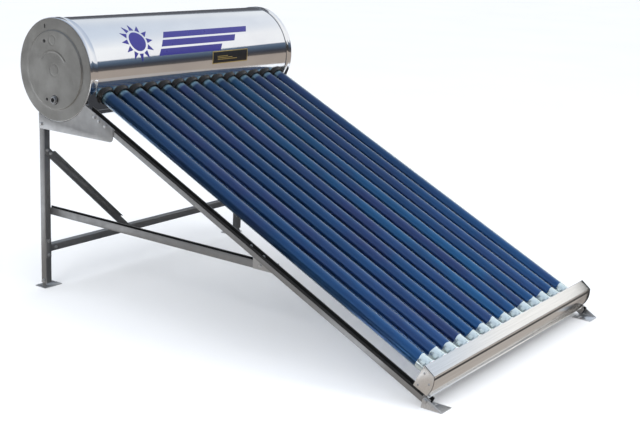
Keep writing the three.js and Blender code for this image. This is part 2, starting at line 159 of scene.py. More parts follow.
def bezier(a, b, c, t):
    return tuple((1 - t) ** 2 * a + 2 * t * (1 - t) * b + t ** 2 * c)


def rounded(path, radii, steps=5):
    """The path with its inner corners rounded, each by its own radius, or all by one."""
    if not isinstance(radii, (list, tuple)):
        radii = [radii] * (len(path) - 2)
    points = [path[0]]
    for k, radius in enumerate(radii, start=1):
        before, corner, after = (Vector(path[k + step]) for step in (-1, 0, 1))
        inward = (before - corner).normalized()
        outward = (after - corner).normalized()
        reach = radius * math.tan((math.pi - inward.angle(outward)) / 2)
        ends = corner + inward * reach, corner + outward * reach
        points += [bezier(ends[0], corner, ends[1], t) for t in evenly(0, 1, steps)]
    points.append(path[-1])
    return points


def sheet(path, thickness):
    """The outline of a bent sheet: a path and the same path set off to its left."""
    points = [Vector(point) for point in path]

    def left_of(a, b):
        direction = (b - a).normalized()
        return Vector((-direction.y, direction.x))

    offset = []
    for k, point in enumerate(points):
        entering = left_of(points[max(k - 1, 0)], points[max(k, 1)])
        leaving = left_of(points[min(k, len(points) - 2)], points[min(k + 1, len(points) - 1)])
        offset.append(point + (entering + leaving) * thickness / (1 + entering.dot(leaving)))
    return [tuple(point) for point in points + offset[::-1]]


def channel(web, mouth, low, high):
    """A U section of bent sheet: its web lies at the first coordinate "web", and it is open at "mouth"."""
    path = rounded([(mouth, high), (web, high), (web, low), (mouth, low)], BEND)
    return sheet(path, PLATE * math.copysign(1, mouth - web) * math.copysign(1, high - low))


# ---------------------------------------------------------------- meshes

PLANES = {"x": (1, 2, 0), "y": (2, 0, 1), "z": (0, 1, 2)}


def ring(mesh, points, height):
    return [mesh.verts.new((x, y, height)) for x, y in points]


def skin(mesh, rings, closed_round=True):
    """Faces between rings of vertices; a ring of one vertex is a pole."""
    for low, high in zip(rings, rings[1:]):
        count = max(len(low), len(high))
        for k in range(count if closed_round else count - 1):
            after = (k + 1) % count
            corners = low[k % len(low)], low[after % len(low)], high[after % len(high)], high[k % len(high)]
            corners = list(dict.fromkeys(corners))
            if len(corners) > 2:
                mesh.faces.new(corners)


def lathe(mesh, profile, segments, loop=False):
    """Adds a body turned about Z from (radius, height) points, as a closed loop or from pole to pole."""
    rings = []
    for radius, height in profile:
        points = [(0, 0)] if radius < 1e-6 else circle((0, 0), radius, segments)
        rings.append(ring(mesh, points, height))
    skin(mesh, rings + rings[:1] if loop else rings)


def prism(mesh, axis, outline, low, high):
    """Adds an outline extruded along an axis. Its points are (y, z) for x, (z, x) for y and (x, y) for z."""
    first, second, along = PLANES[axis]
    rings = []
    for level in (low, high):
        end = []
        for a, b in outline:
            point = [0, 0, 0]
            point[first], point[second], point[along] = a, b, level
            end.append(mesh.verts.new(point))
        rings.append(end)
        mesh.faces.new(end)
    skin(mesh, rings)


def settle(obj):
    """Applies the piece's modifiers to its mesh."""
    bpy.context.view_layer.update()
    graph = bpy.context.evaluated_depsgraph_get()
    final = obj.evaluated_get(graph)
    mesh = bpy.data.meshes.new_from_object(final, preserve_all_data_layers=True, depsgraph=graph)
    obj.modifiers.clear()
    obj.data = mesh


def link(name, mesh, matrix):
    bmesh.ops.recalc_face_normals(mesh, faces=mesh.faces)
    data = bpy.data.meshes.new(name)
    mesh.to_mesh(data)
    mesh.free()
    obj = bpy.data.objects.new(name, data)
    bpy.context.scene.collection.objects.link(obj)
    obj.matrix_world = matrix
    return obj


def cut(obj, cutters):
    """Cuts away the union of some meshes, given in the piece's own frame."""
    tool = link("cutter", cutters, obj.matrix_world)
    modifier = obj.modifiers.new("cut", "BOOLEAN")
    modifier.operation = "DIFFERENCE"
    modifier.solver = "EXACT"
    modifier.use_self = True
    modifier.object = tool
    settle(obj)
    bpy.data.objects.remove(tool)


def soften(obj, width, angle=40):
    """Rounds the piece's sharp edges a little, so that they catch the light."""
    modifier = obj.modifiers.new("soften", "BEVEL")
    modifier.width = width
    modifier.segments = 2
    modifier.limit_method = "ANGLE"
    modifier.angle_limit = math.radians(angle)
    modifier.use_clamp_overlap = True
    settle(obj)


def finish_piece(obj, look, replaces=(), body=STAND, sharp=38):
    """Gives a piece its look, and ties it to the CAD."""
    obj.data.materials.clear()
    obj.data.materials.append(look.material)
    obj.data.shade_smooth()
    obj.data.set_sharp_from_angle(angle=math.radians(sharp))
    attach(obj, body)
    if replaces:
        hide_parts(*replaces)


def piece(name, mesh, look, replaces=(), matrix=Matrix(), bevel=0, sharp=38):
    obj = link(name, mesh, matrix)
    if bevel:
        soften(obj, bevel)
    finish_piece(obj, look, replaces, sharp=sharp)


def turned(name, profile, look, segments, loop=False, **how):
    """A piece turned about its own Z."""
    mesh = bmesh.new()
    lathe(mesh, profile, segments, loop)
    piece(name, mesh, look, **how)


def extruded(name, axis, outline, low, high, look, **how):
    """A piece of one section, drawn out along an axis."""
    mesh = bmesh.new()
    prism(mesh, axis, outline, low, high)
    piece(name, mesh, look, **how)


# ---------------------------------------------------------------- materials


class Nodes:
    """A node tree, with its nodes added one call at a time."""

    def __init__(self, tree):
        self.tree = tree

    def feed(self, node, inputs):
        """Links or sets a node's inputs, each by its name or number."""
        for name, value in inputs.items():
            if isinstance(value, bpy.types.NodeSocket):
                self.tree.links.new(value, node.inputs[name])
            else:
                node.inputs[name].default_value = value

    def add(self, kind, inputs=(), **settings):
        node = self.tree.nodes.new(kind)
        for name, value in settings.items():
            setattr(node, name, value)
        self.feed(node, dict(inputs))
        return node

    def place(self, output="Object"):
        return self.add("ShaderNodeTexCoord").outputs[output]

    def split(self, vector):
        return self.add("ShaderNodeSeparateXYZ", {"Vector": vector}).outputs

    def span(self, value, low, high, to_low=0.0, to_high=1.0):
        inputs = {"Value": value, "From Min": low, "From Max": high, "To Min": to_low, "To Max": to_high}
        return self.add("ShaderNodeMapRange", inputs).outputs["Result"]

    def ramp(self, factor, *stops):
        node = self.add("ShaderNodeValToRGB", {"Fac": factor})
        elements = node.color_ramp.elements
        for k, (position, colour) in enumerate(stops):
            element = elements[k] if k < 2 else elements.new(position)
            element.position = position
            element.color = (*colour, 1)
        return node.outputs["Color"]

    def blend(self, factor, a, b, mode="MIX"):
        inputs = {0: factor, 6: a, 7: b}
        return self.add("ShaderNodeMix", inputs, data_type="RGBA", blend_type=mode).outputs[2]

    def maths(self, operation, a, b):
        return self.add("ShaderNodeMath", {0: a, 1: b}, operation=operation).outputs[0]


class Look(Nodes):
    """A Principled material and the record's slot that it belongs to."""

    def __init__(self, name, slot, colour, roughness, metallic=0.0, **values):
        self.material = bpy.data.materials.new(name)
        self.material.use_nodes = True
        super().__init__(self.material.node_tree)
        self.slot = slot
        self.shader = self.tree.nodes["Principled BSDF"]
        self.feed(self.shader, {"Base Color": (*colour, 1), "Roughness": roughness, "Metallic": metallic})
        self.feed(self.shader, {name.replace("_", " ").title(): value for name, value in values.items()})
        self.bumped = None

    def noise(self, scale, stretch=(1, 1, 1), detail=3.0, roughness=0.5, shift=(0, 0, 0)):
        inputs = {"Vector": self.place(), "Scale": stretch, "Location": shift}
        mapped = self.add("ShaderNodeMapping", inputs).outputs["Vector"]
        inputs = {"Vector": mapped, "Scale": scale, "Detail": detail, "Roughness": roughness}
        return self.add("ShaderNodeTexNoise", inputs).outputs["Fac"]

    def bump(self, height, distance):
        inputs = {"Height": height, "Distance": distance, "Strength": 1.0}
        if self.bumped is not None:
            inputs["Normal"] = self.bumped
        self.bumped = self.add("ShaderNodeBump", inputs).outputs["Normal"]
        self.feed(self.shader, {"Normal": self.bumped})

    def colour(self, socket):
        self.feed(self.shader, {"Base Color": socket})

    def colours(self, factor, *stops):
        self.colour(self.ramp(factor, *stops))

    def roughness(self, factor, low, high):
        """Roughness from low to high over the middle of a noise's range."""
        self.feed(self.shader, {"Roughness": self.span(factor, 0.3, 0.7, low, high)})

    def worn_edges(self, base, worn):
        """The base colour, lighter along edges."""
        point = self.add("ShaderNodeNewGeometry").outputs["Pointiness"]
        self.colour(self.blend(self.span(point, 0.52, 0.60, 0.0, 0.8), base, (worn, worn, worn, 1)))

    def replace_shader(self, surface):
        """Puts another surface in place of the Principled one."""
        self.feed(self.tree.nodes["Material Output"], {"Surface": surface})
        self.tree.nodes.remove(self.shader)


def scaled(colour, by):
    return [c * k for c, k in zip(colour, by if isinstance(by, tuple) else (by,) * 3)]


def mirror_steel():
    """Bright-annealed sheet: a mirror with slow waves from rolling, hairlines along X and faint haze."""
    look = Look("mirror_steel", "polished_shell", (0.84, 0.85, 0.87), 0.05, 1.0)
    look.colours(look.noise(5, (1, 1, 0.5), 5), (0.35, (0.78, 0.79, 0.82)), (0.65, (0.88, 0.89, 0.90)))
    look.roughness(look.noise(18, (1, 1, 0.08), 6), 0.035, 0.11)
    look.bump(look.noise(4.5, (1, 1, 0.3), 1), 0.0012)
    look.bump(look.noise(220, (1, 1, 0.02), 2), 0.000015)
    return look


def brushed_cap():
    """Pressed stainless with a dull, blotchy, swirled finish."""
    look = Look("brushed_cap", "brushed_cap", (0.28, 0.272, 0.256), 0.36, 1.0)
    blotches = look.noise(9, detail=6, roughness=0.6)
    look.colours(blotches, (0.3, (0.245, 0.237, 0.222)), (0.7, (0.325, 0.318, 0.300)))
    look.roughness(look.noise(14, detail=5), 0.28, 0.46)
    look.bump(look.noise(7, detail=2), 0.0008)
    look.bump(look.noise(500, (1, 0.06, 1), 3), 0.00003)
    return look


def frame_steel(name, shade, metallic=0.85):
    """Satin grey steel sheet: blotches, fine grain and lighter worn edges."""
    grey = (shade, shade, shade)
    look = Look(name, "frame_paint", grey, 0.36, metallic)
    blotches = look.noise(16, detail=6, roughness=0.62)
    stops = [(at, scaled(grey, k)) for at, k in ((0.3, 0.80), (0.55, 1.0), (0.75, 1.22))]
    look.worn_edges(look.ramp(blotches, *stops), 2.0 * shade)
    look.roughness(look.noise(40, detail=6), 0.29, 0.48)
    look.bump(look.noise(900, detail=2), 0.00006)
    look.bump(look.noise(28, detail=3), 0.0003)
    return look


def zinc_steel(name, shade, slot="zinc_steel"):
    """Zinc-plated plate and bolts, slightly mottled and dull."""
    look = Look(name, slot, (shade, shade, shade), 0.34, 0.95)
    spangle = look.noise(130, detail=4, roughness=0.7)
    low, high = scaled((0.80, 0.82, 0.84), shade), scaled((1.20, 1.22, 1.24), shade)
    look.worn_edges(look.ramp(spangle, (0.3, low), (0.7, high)), 0.75)
    look.roughness(look.noise(70, detail=5), 0.29, 0.48)
    look.bump(look.noise(700, detail=2), 0.00004)
    return look


def rail_steel(name, slot, dull):
    """Polished stainless strip, with its polishing lines along X."""
    look = Look(name, slot, (0.84, 0.825, 0.80), 0.16 + dull, 1.0)
    lines = look.noise(260, (0.02, 1, 1), 4)
    look.colours(lines, (0.3, (0.79, 0.775, 0.75)), (0.7, (0.89, 0.875, 0.85)))
    look.roughness(look.noise(9, (0.4, 1, 1), 5), 0.10 + dull, 0.22 + dull)
    look.bump(lines, 0.00003)
    look.bump(look.noise(5, (0.5, 1, 1), 1), 0.0006)
    return look


def dark_rubber():
    look = Look("dark_rubber", "black_rubber", (0.014, 0.012, 0.012), 0.34)
    dust = look.noise(60, detail=6, roughness=0.65)
    look.colours(dust, (0.4, (0.005, 0.005, 0.005)), (0.85, (0.024, 0.022, 0.021)))
    look.roughness(dust, 0.14, 0.30)
    look.bump(look.noise(1100, detail=2), 0.00008)
    return look


# A matt black that paints the shade inside the channels and along the front rail's edge.
def painted_shade_black():
    look = Look("painted_shade_black", "black_rubber", (0.006, 0.006, 0.006), 0.85)
    dust = look.noise(80, detail=6, roughness=0.65)
    look.colours(dust, (0.4, (0.004, 0.004, 0.004)), (0.8, (0.020, 0.019, 0.018)))
    look.roughness(dust, 0.75, 0.95)
    look.bump(look.noise(900, detail=2), 0.0001)
    return look


def cup_plastic():
    """Milky moulded plastic."""
    milky = {"subsurface_weight": 0.15, "subsurface_scale": 0.004}
    look = Look("cup_plastic", "coated_glass", (0.78, 0.80, 0.80), 0.36, **milky)
    cloud = look.noise(45, detail=4)
    look.colours(cloud, (0.3, (0.70, 0.73, 0.73)), (0.7, (0.86, 0.87, 0.86)))
    look.roughness(cloud, 0.30, 0.48)
    look.bump(look.noise(600, detail=2), 0.00005)
    return look


def clear_glass():
    """Thin clear tube glass: it lets light straight through, and shines more towards its edges."""
    look = Look("clear_glass", "coated_glass", (1, 1, 1), 0.0)
    steep = look.maths("POWER", look.add("ShaderNodeLayerWeight", {"Blend": 0.5}).outputs["Facing"], 5.0)
    streaks = look.noise(30, (1, 1, 0.06), 4)
    clear = look.add("ShaderNodeBsdfTransparent", {"Color": (0.93, 0.965, 0.975, 1)})
    inputs = {"Color": (0.96, 0.98, 1, 1), "Roughness": look.span(streaks, 0.3, 0.7, 0.01, 0.05)}
    gloss = look.add("ShaderNodeBsdfGlossy", inputs)
    share = look.span(steep, 0.10, 1.0, 0.0, 0.60)
    mix = look.add("ShaderNodeMixShader", {0: share, 1: clear.outputs[0], 2: gloss.outputs[0]})
    look.replace_shader(mix.outputs[0])
    return look


def selective_coating(number, tint):
    """The absorber's dark blue mirror, with a painted highlight as a paler teal band at the neck and a painted
    reflection that makes it brighter and bluer down the tube.
    """
    coat = {"coat_weight": 0.5, "coat_roughness": 0.03}
    name = f"selective_coating_{number}"
    look = Look(name, "coated_glass", (0.05, 0.11, 0.25), 0.30, 0.94, **coat)
    shift = (3.7 * int(number), 0, 0)
    height = look.split(look.place())["Z"]
    wander = look.span(look.noise(5, (1, 1, 0.5), 3, shift=shift), 0.0, 1.0, -0.2, 0.2)
    shifted = look.maths("ADD", look.span(height, TANK_RADIUS, ABSORBER["end"]), wander)
    # Painted reflection: the blue grows brighter and bluer down the tube.
    painted_reflection_blues = (0.0, (0.032, 0.069, 0.150)), (0.5, (0.038, 0.094, 0.220)), (0.98, (0.044, 0.138, 0.330))
    base = look.ramp(shifted, *((at, scaled(blue, tint)) for at, blue in painted_reflection_blues))
    patches = look.noise(2.6, (2, 2, 1), 2, shift=shift)
    base = look.blend(look.span(patches, 0.48, 0.66, 0.0, 0.75), base, (0.066, 0.074, 0.20, 1))
    # Painted highlight: a pale teal band just below the seal.
    neck = look.span(height, TANK_RADIUS + 0.015, TANK_RADIUS + 0.036, 0.85, 0.0)
    look.colour(look.blend(neck, base, (0.42, 0.58, 0.64, 1)))
    look.roughness(look.noise(16, (1, 1, 0.10), 3, shift=shift), 0.280, 0.315)
    return look


def getter_mirror():
    """The silvery film inside a tube's tip, dark grey where it thins."""
    look = Look("getter_mirror", "coated_glass", (0.88, 0.89, 0.90), 0.1, 0.7)
    cloud = look.noise(38, detail=5, roughness=0.65)
    silver = (0.47, (0.93, 0.91, 0.88)), (0.6, (1.0, 0.98, 0.95))
    look.colours(cloud, (0.36, (0.20, 0.22, 0.24)), *silver)
    look.roughness(cloud, 0.08, 0.26)
    look.bump(look.noise(55, detail=3), 0.0002)
    return look


def printed_film(name, colour, metallic=0.0):
    coat = {"coat_weight": 0.12, "coat_roughness": 0.2}
    look = Look(name, "polished_shell", colour, 0.34, metallic, **coat)
    look.colours(look.noise(120, detail=5), (0.3, scaled(colour, 0.88)), (0.7, colour))
    look.roughness(look.noise(35, detail=4), 0.27, 0.42)
    look.bump(look.noise(8, detail=1), 0.0005)
    return look


def rigid_foam():
    look = Look("rigid_foam", None, (0.72, 0.56, 0.28), 0.9)
    cells = look.noise(260, detail=4)
    look.colours(cells, (0.3, (0.58, 0.43, 0.20)), (0.7, (0.80, 0.65, 0.36)))
    look.bump(cells, 0.0008)
    return look


def pale_floor():
    look = Look("pale_floor", None, (0.95, 0.95, 0.95), 0.8)
    look.colours(look.noise(0.8, detail=3), (0.3, (0.94, 0.94, 0.935)), (0.7, (0.965, 0.965, 0.96)))
    return look


MIRROR = mirror_steel()
BRUSHED = brushed_cap()
FRAME_STEEL = frame_steel("frame_steel", 0.22)
BRACKET_STEEL = frame_steel("bracket_steel", 0.33)
# A darker copy of the frame steel: painted shade for the diagonal brace, whose front faces away from the light.
SHADED_STEEL = frame_steel("painted_shade_steel", 0.09, 0.3)
# Two copies of the feet's zinc plate: the darker rear one is painted shade and the lighter front one is painted
# light.
FOOT_STEEL_LIT_AND_SHADED = {"rear": zinc_steel("rear_foot_painted_shade", 0.30), "front": zinc_steel("front_foot_painted_light", 0.74)}
ZINC = zinc_steel("zinc_steel", 0.42)
POLISHED = rail_steel("polished_strip", "polished_rail", 0.0)
SATIN = rail_steel("satin_plate", "rail_end", 0.16)
PORT_STEEL = zinc_steel("port_steel", 0.30, "port_steel")
RUBBER = dark_rubber()
# The black strips in the channels are painted shade.
SHADE_STRIPS = painted_shade_black()
MILKY = cup_plastic()
GLASS = clear_glass()
SILVERING = getter_mirror()

# ---------------------------------------------------------------- camera, floor and light

CAMERA = {
    "place": (-3.6669, -2.6333, 1.5144), "yaw": 54.807, "pitch": 14.255, "roll": 2.639,
    "lens": 64.92, "sensor": 36.0,
}


def add_camera():
    yaw, pitch, roll = (math.radians(CAMERA[angle]) for angle in ("yaw", "pitch", "roll"))
    forward = Vector((math.sin(yaw) * math.cos(pitch), math.cos(yaw) * math.cos(pitch), -math.sin(pitch)))
    level = Vector((math.cos(yaw), -math.sin(yaw), 0))
    rise = level.cross(forward)
    right = level * math.cos(roll) + rise * math.sin(roll)
    up = rise * math.cos(roll) - level * math.sin(roll)
    camera = bpy.data.objects.new("camera", bpy.data.cameras.new("camera"))
    bpy.context.scene.collection.objects.link(camera)
    camera.matrix_world = Matrix((right, up, -forward)).transposed().to_4x4()
    camera.location = CAMERA["place"]
    camera.data.lens = CAMERA["lens"]
    camera.data.sensor_width = CAMERA["sensor"]
    camera.data.clip_end = 200
    bpy.context.scene.camera = camera


def add_sky():
    """A pale studio sky: bluer overhead, greyer behind the tank and darker on the left."""
    world = bpy.data.worlds.new("studio")
    world.use_nodes = True
    bpy.context.scene.world = world
    sky = Nodes(world.node_tree)
    x, y, z = sky.split(sky.place("Generated"))
    low, high = (0.0, (1.0, 1.0, 1.0)), (1.0, (0.60, 0.67, 0.78))
    by_height = sky.ramp(z, low, (0.52, (0.98, 0.99, 1.0)), (0.72, (0.68, 0.75, 0.85)), high)
    by_depth = sky.ramp(y, (0.05, (1.0, 1.0, 1.0)), (0.6, (0.76, 0.80, 0.85)))
    left = (0.0, (0.60, 0.63, 0.68)), (0.35, (0.64, 0.67, 0.72))
    right = (0.62, (0.90, 0.92, 0.95)), (0.85, (1.04, 1.04, 1.04))
    by_side = sky.ramp(sky.span(x, -1.0, 1.0), *left, *right)
    colour = sky.blend(1.0, sky.blend(1.0, by_height, by_depth, "MULTIPLY"), by_side, "MULTIPLY")
    sky.feed(sky.tree.nodes["Background"], {"Color": colour})


def glow(name, stops, low, high):
    """An even glow, with its colour in bands by height."""
    look = Look(name, None, (0, 0, 0), 1.0)
    bands = look.ramp(look.span(look.split(look.place())["Z"], low, high), *stops)
    look.replace_shader(look.add("ShaderNodeEmission", {"Color": bands, "Strength": 1.0}).outputs[0])
    look.material.cycles.emission_sampling = "NONE"
    return look


def plain(colour):
    """Stops for a glow of one colour."""
    return (0.0, colour), (1.0, colour)


RAYS = ("camera", "diffuse", "glossy", "transmission", "volume_scatter", "shadow")


def add_card(seeing, name, mesh, stops, low=0, high=1):
    """Links a glowing card that only one kind of ray meets."""
    obj = link(name, mesh, GROUND)
    obj.data.materials.append(glow(f"{name}_glow", stops, low, high).material)
    for ray in RAYS:
        setattr(obj, f"visible_{ray}", ray == seeing)


def add_backdrop(name, start, end, near, far, stops):
    """A sector between two rings, each a (radius, height), that only shiny parts see."""
    mesh = bmesh.new()
    rings = []
    for radius, height in (near, far):
        points = arc((0, 0), radius, math.radians(start), math.radians(end), 48)
        rings.append(ring(mesh, points, height))
    skin(mesh, rings, closed_round=False)
    add_card("glossy", name, mesh, stops, near[1], far[1] + 1e-4)


def add_patch_of_ground(name, x, y, colour):
    """A rectangle just above the ground's glow, that only shiny parts see."""
    mesh = bmesh.new()
    mesh.faces.new(ring(mesh, [(x[0], y[0]), (x[1], y[0]), (x[1], y[1]), (x[0], y[1])], 0.0014))
    add_card("glossy", name, mesh, plain(colour))


FLOOR_RADIUS = 80.0
WALL_RADIUS = 25.0


def add_floor():
    """The floor, and a white wall round it that only the camera sees."""
    mesh = bmesh.new()
    lathe(mesh, [(0, -0.02), (FLOOR_RADIUS, -0.02), (FLOOR_RADIUS, 0), (0, 0)], 96)
    floor = link("floor", mesh, Matrix())
    floor.data.materials.append(pale_floor().material)

    mesh = bmesh.new()
    lathe(mesh, [(FLOOR_RADIUS - 1, -0.01), (FLOOR_RADIUS - 1, 60.0)], 96)
    add_card("camera", "studio_wall", mesh, plain((1.0, 1.0, 1.0)))


def add_surroundings():
    """The walls and ground that only the shiny parts mirror."""
    foot, fence_top, top, tall = ((WALL_RADIUS, height) for height in (0.0, 3.6, 7.2, 12.6))
    leaves = (0.35, (0.05, 0.055, 0.07)), (0.7, (0.09, 0.13, 0.19))
    hedge = (0.0, (0.10, 0.09, 0.085)), *leaves, (1.0, (0.17, 0.22, 0.30))
    fence = (0.0, (0.04, 0.04, 0.04)), (1.0, (0.06, 0.06, 0.06))
    dusk = (0.0, (0.09, 0.09, 0.10)), (0.8, (0.12, 0.125, 0.145)), (1.0, (0.30, 0.33, 0.37))
    haze = (0.0, (0.52, 0.51, 0.50)), (1.0, (0.72, 0.72, 0.72))
    shade = (0.0, (0.03, 0.03, 0.04)), (0.7, (0.05, 0.055, 0.07)), (1.0, (0.20, 0.24, 0.30))
    add_backdrop("mirrored_hedge", -110, -22, foot, top, hedge)
    add_backdrop("mirrored_fence", -22, 28, foot, fence_top, fence)
    add_backdrop("mirrored_dusk", 28, 95, foot, tall, dusk)
    add_backdrop("mirrored_haze", 95, 143, foot, top, haze)
    add_backdrop("mirrored_shade", 143, 172, foot, tall, shade)
    add_backdrop("mirrored_trees", 172, 250, foot, top, hedge)
    near, far = (3.0, 0.001), (WALL_RADIUS, 0.001)
    add_backdrop("mirrored_earth", -188, 60, near, far, plain((0.40, 0.345, 0.30)))
    add_backdrop("mirrored_soil", 143, 172, near, far, plain((0.03, 0.03, 0.035)))
    add_patch_of_ground("mirrored_shadow", (-0.60, 2.4), (-1.15, 0.60), (0.05, 0.052, 0.058))
    add_patch_of_ground("mirrored_slab", (-2.4, -0.62), (-1.15, 0.60), (0.38, 0.36, 0.34))
    add_patch_of_ground("mirrored_apron", (-1.5, 2.4), (-2.6, -1.50), (0.47, 0.435, 0.41))


def add_light(name, kind, energy):
    """A light that no shiny part mirrors."""
    data = bpy.data.lights.new(name, kind)
    data.energy = energy
    light = bpy.data.objects.new(name, data)
    bpy.context.scene.collection.objects.link(light)
    light.visible_glossy = False
    return light


def add_lights():
    middle = Vector((0, 0, 0.4))
    areas = ("key", (-5.0, -0.5, 2.6), 2.5, 150), ("fill", (2.0, -4.5, 4.0), 3.0, 40)
    for name, place, size, power in areas:
        light = add_light(name, "AREA", power)
        light.data.size = size
        light.location = place
        light.rotation_euler = (middle - Vector(place)).to_track_quat("-Z", "Y").to_euler()
    overhead = add_light("overhead", "SUN", 1.5)
    overhead.data.angle = math.radians(110)
    overhead.data.color = (1.0, 0.975, 0.94)


# ---------------------------------------------------------------- tank


def add_tank_shell():
    stations = evenly(-SHELL_END, SHELL_END, 24)
    inner = TANK_RADIUS - SHELL_WALL
    mesh = bmesh.new()
    lathe(mesh, [(TANK_RADIUS, x) for x in stations] + [(inner, x) for x in stations[::-1]], 180, loop=True)
    obj = link("polished_tank_shell", mesh, facing(1))
    holes = bmesh.new()
    for number in TUBES:
        start = len(holes.verts)
        prism(holes, "z", circle((0, 0), SEAL["neck"] + GAP, 40), TANK_RADIUS * 0.9, TANK_RADIUS * 1.1)
        holes.verts.ensure_lookup_table()
        to_shell = facing(1).inverted() @ along_tube(number)
        bmesh.ops.transform(holes, matrix=to_shell, verts=holes.verts[start:])
    cut(obj, holes)
    finish_piece(obj, MIRROR, ["tank_shell"])
    smooth_round(obj)


def smooth_round(obj):
    """Gives a round skin about Z exact normals, so that it mirrors cleanly beside its holes."""
    normals = []
    data = obj.data
    for polygon in data.polygons:
        for index in polygon.vertices:
            point = data.vertices[index].co
            outward = Vector((point.x, point.y, 0)).normalized()
            lined_up = outward.dot(polygon.normal)
            exact = outward * math.copysign(1, lined_up)
            normals.append(exact if abs(lined_up) > 0.9 else polygon.normal.copy())
    data.normals_split_custom_set(normals)


def add_shell_seam():
    """The folded seam that closes the sheet, low at the back."""
    angle, half, rise, lift = math.radians(-62), math.radians(1.9), 0.0009, 0.0001
    outer = arc((0, 0), TANK_RADIUS + rise, angle - half * 0.8, angle + half * 0.8, 6)
    inner = arc((0, 0), TANK_RADIUS + lift, angle + half, angle - half, 6)
    end = CAP["skirt_end"]
    extruded("shell_seam", "x", outer + inner, -end, end - 0.0005, MIRROR, matrix=TANK)


def ridge(off, half_width):
    """A rounded ridge's height at a distance from its middle, from 1 down to 0."""
    return max(0, 1 - (off / half_width) ** 2) ** 2


def pressed(y, z):
    """How far a cap's face stands proud at a point: a shallow arched bead and two stamped rings."""
    bead_y, bead_z, bead_radius, bead_rise = 0.008, -0.010, 0.082, 0.0011
    first, last, fade = 28, 148, 8
    angle = math.degrees(math.atan2(z - bead_z, y - bead_y))
    ends = min(max((angle - first) / fade, 0), max((last - angle) / fade, 0), 1)
    off = math.hypot(y - bead_y, z - bead_z) - bead_radius
    rise = bead_rise * ends * ridge(off, 0.005)
    for ring_y, ring_z, ring_radius in ((0, 0, 0.024), (0.010, 0.115, 0.019)):
        off = math.hypot(y - ring_y, z - ring_z) - ring_radius
        rise -= 0.0007 * ridge(off, 0.003)
    return rise


def add_end_cap(name, side):
    radius, wall, face, corner, end = (CAP[key] for key in ("radius", "wall", "face", "corner", "skirt_end"))
    flat = CAP["panel"] - CAP["bevel"]
    panel = [(r, face) for r in evenly(0, flat, 52)]
    slope = []
    for t in evenly(0, 1, 6)[1:]:
        fall = CAP["rise"] * (0.5 - 0.5 * math.cos(math.pi * t))
        slope.append((flat + CAP["bevel"] * t, face - fall))
    annulus = [(r, CAP_RIM) for r in evenly(CAP["panel"], radius - corner, 6)[1:]]
    edge = swapped(arc((CAP_RIM - corner, radius - corner), corner, 0, QUARTER, 6))[1:]
    bead, hem = CAP_RIM - CAP["bead"], end + CAP["hem"]
    proud, inner = radius + 0.0007, radius - wall
    skirt = [(radius, bead + 0.003), (proud, bead), (radius, bead - 0.003), (radius, hem)]
    skirt += [(proud, hem - 0.001), (proud, end + 0.0006), (radius, end)]
    inside = [
        (inner, end), (inner, CAP_RIM - wall - corner), (inner - corner, CAP_RIM - wall),
        (CAP["panel"], CAP_RIM - wall), (flat, face - wall), (0, face - wall),
    ]
    mesh = bmesh.new()
    lathe(mesh, panel + slope + annulus + edge + skirt + inside, 240)
    for vertex in mesh.verts:
        x, y, out = vertex.co
        if out > face - 0.0001 and math.hypot(x, y) < flat:
            vertex.co.z += pressed(y, -side * x)
    obj = link(f"pressed_end_cap_{name}", mesh, facing(side))
    hole = bmesh.new()
    prism(hole, "z", circle((side * PORT["drop"], 0), PORT["hole"], 40), face - 0.05, face + 0.05)
    cut(obj, hole)
    finish_piece(obj, BRUSHED, [f"tank_end_cap_{name}"], sharp=50)


def add_cap_band(name, side):
    """The bright-polished outside of a cap's skirt."""
    radius, corner, start, lift, thickness = CAP["radius"], CAP["corner"], CAP["skirt_end"], 0.0003, 0.0002
    edge = swapped(arc((CAP_RIM - corner, radius - corner), corner + lift, math.radians(25), QUARTER, 5))
    bead, hem = CAP_RIM - CAP["bead"], start + CAP["hem"]
    outside = edge + [
        (radius + lift, bead + 0.003), (radius + 0.0009, bead), (radius + lift, bead - 0.003),
        (radius + lift, hem), (radius + 0.0010, hem - 0.001), (radius + 0.0010, start + 0.0005),
        (radius + thickness, start),
    ]
    inside = [(r - thickness, z) for r, z in outside[::-1]]
    how = {"loop": True, "matrix": facing(side), "sharp": 50}
    turned(f"polished_cap_band_{name}", outside + inside, MIRROR, 240, **how)


def add_port(name, side):
    """A threaded stub with a washer face against the cap."""
    node = f"water_port_{name}"
    inner_end, end = distances(node)
    face, bore, flange, crest = CAP["face"] + GAP, PORT["bore"], PORT["flange"], PORT["outer"]
    root = crest - PORT["thread_depth"]
    top = CAP["face"] + PORT["flange_height"]
    chamfer, bore_chamfer, lead_in = 0.0004, 0.0005, 0.0006
    threads = []
    height = top + lead_in
    while height + PORT["thread"] < end - 0.0008:
        threads += [(root, height), (crest, height + PORT["thread"] / 2)]
        height += PORT["thread"]
    profile = [
        (bore, inner_end), (root, inner_end), (root, face), (flange, face), (flange, top - 0.0006),
        (flange - 0.0006, top), (root, top), *threads, (root, height), (root, end - chamfer),
        (root - chamfer, end), (bore + bore_chamfer, end), (bore, end - bore_chamfer),
    ]
    how = {"loop": True, "replaces": [node], "matrix": on_cap(side, -PORT["drop"], 0, 0), "sharp": 25}
    turned(f"threaded_port_{name}", profile, PORT_STEEL, 72, **how)


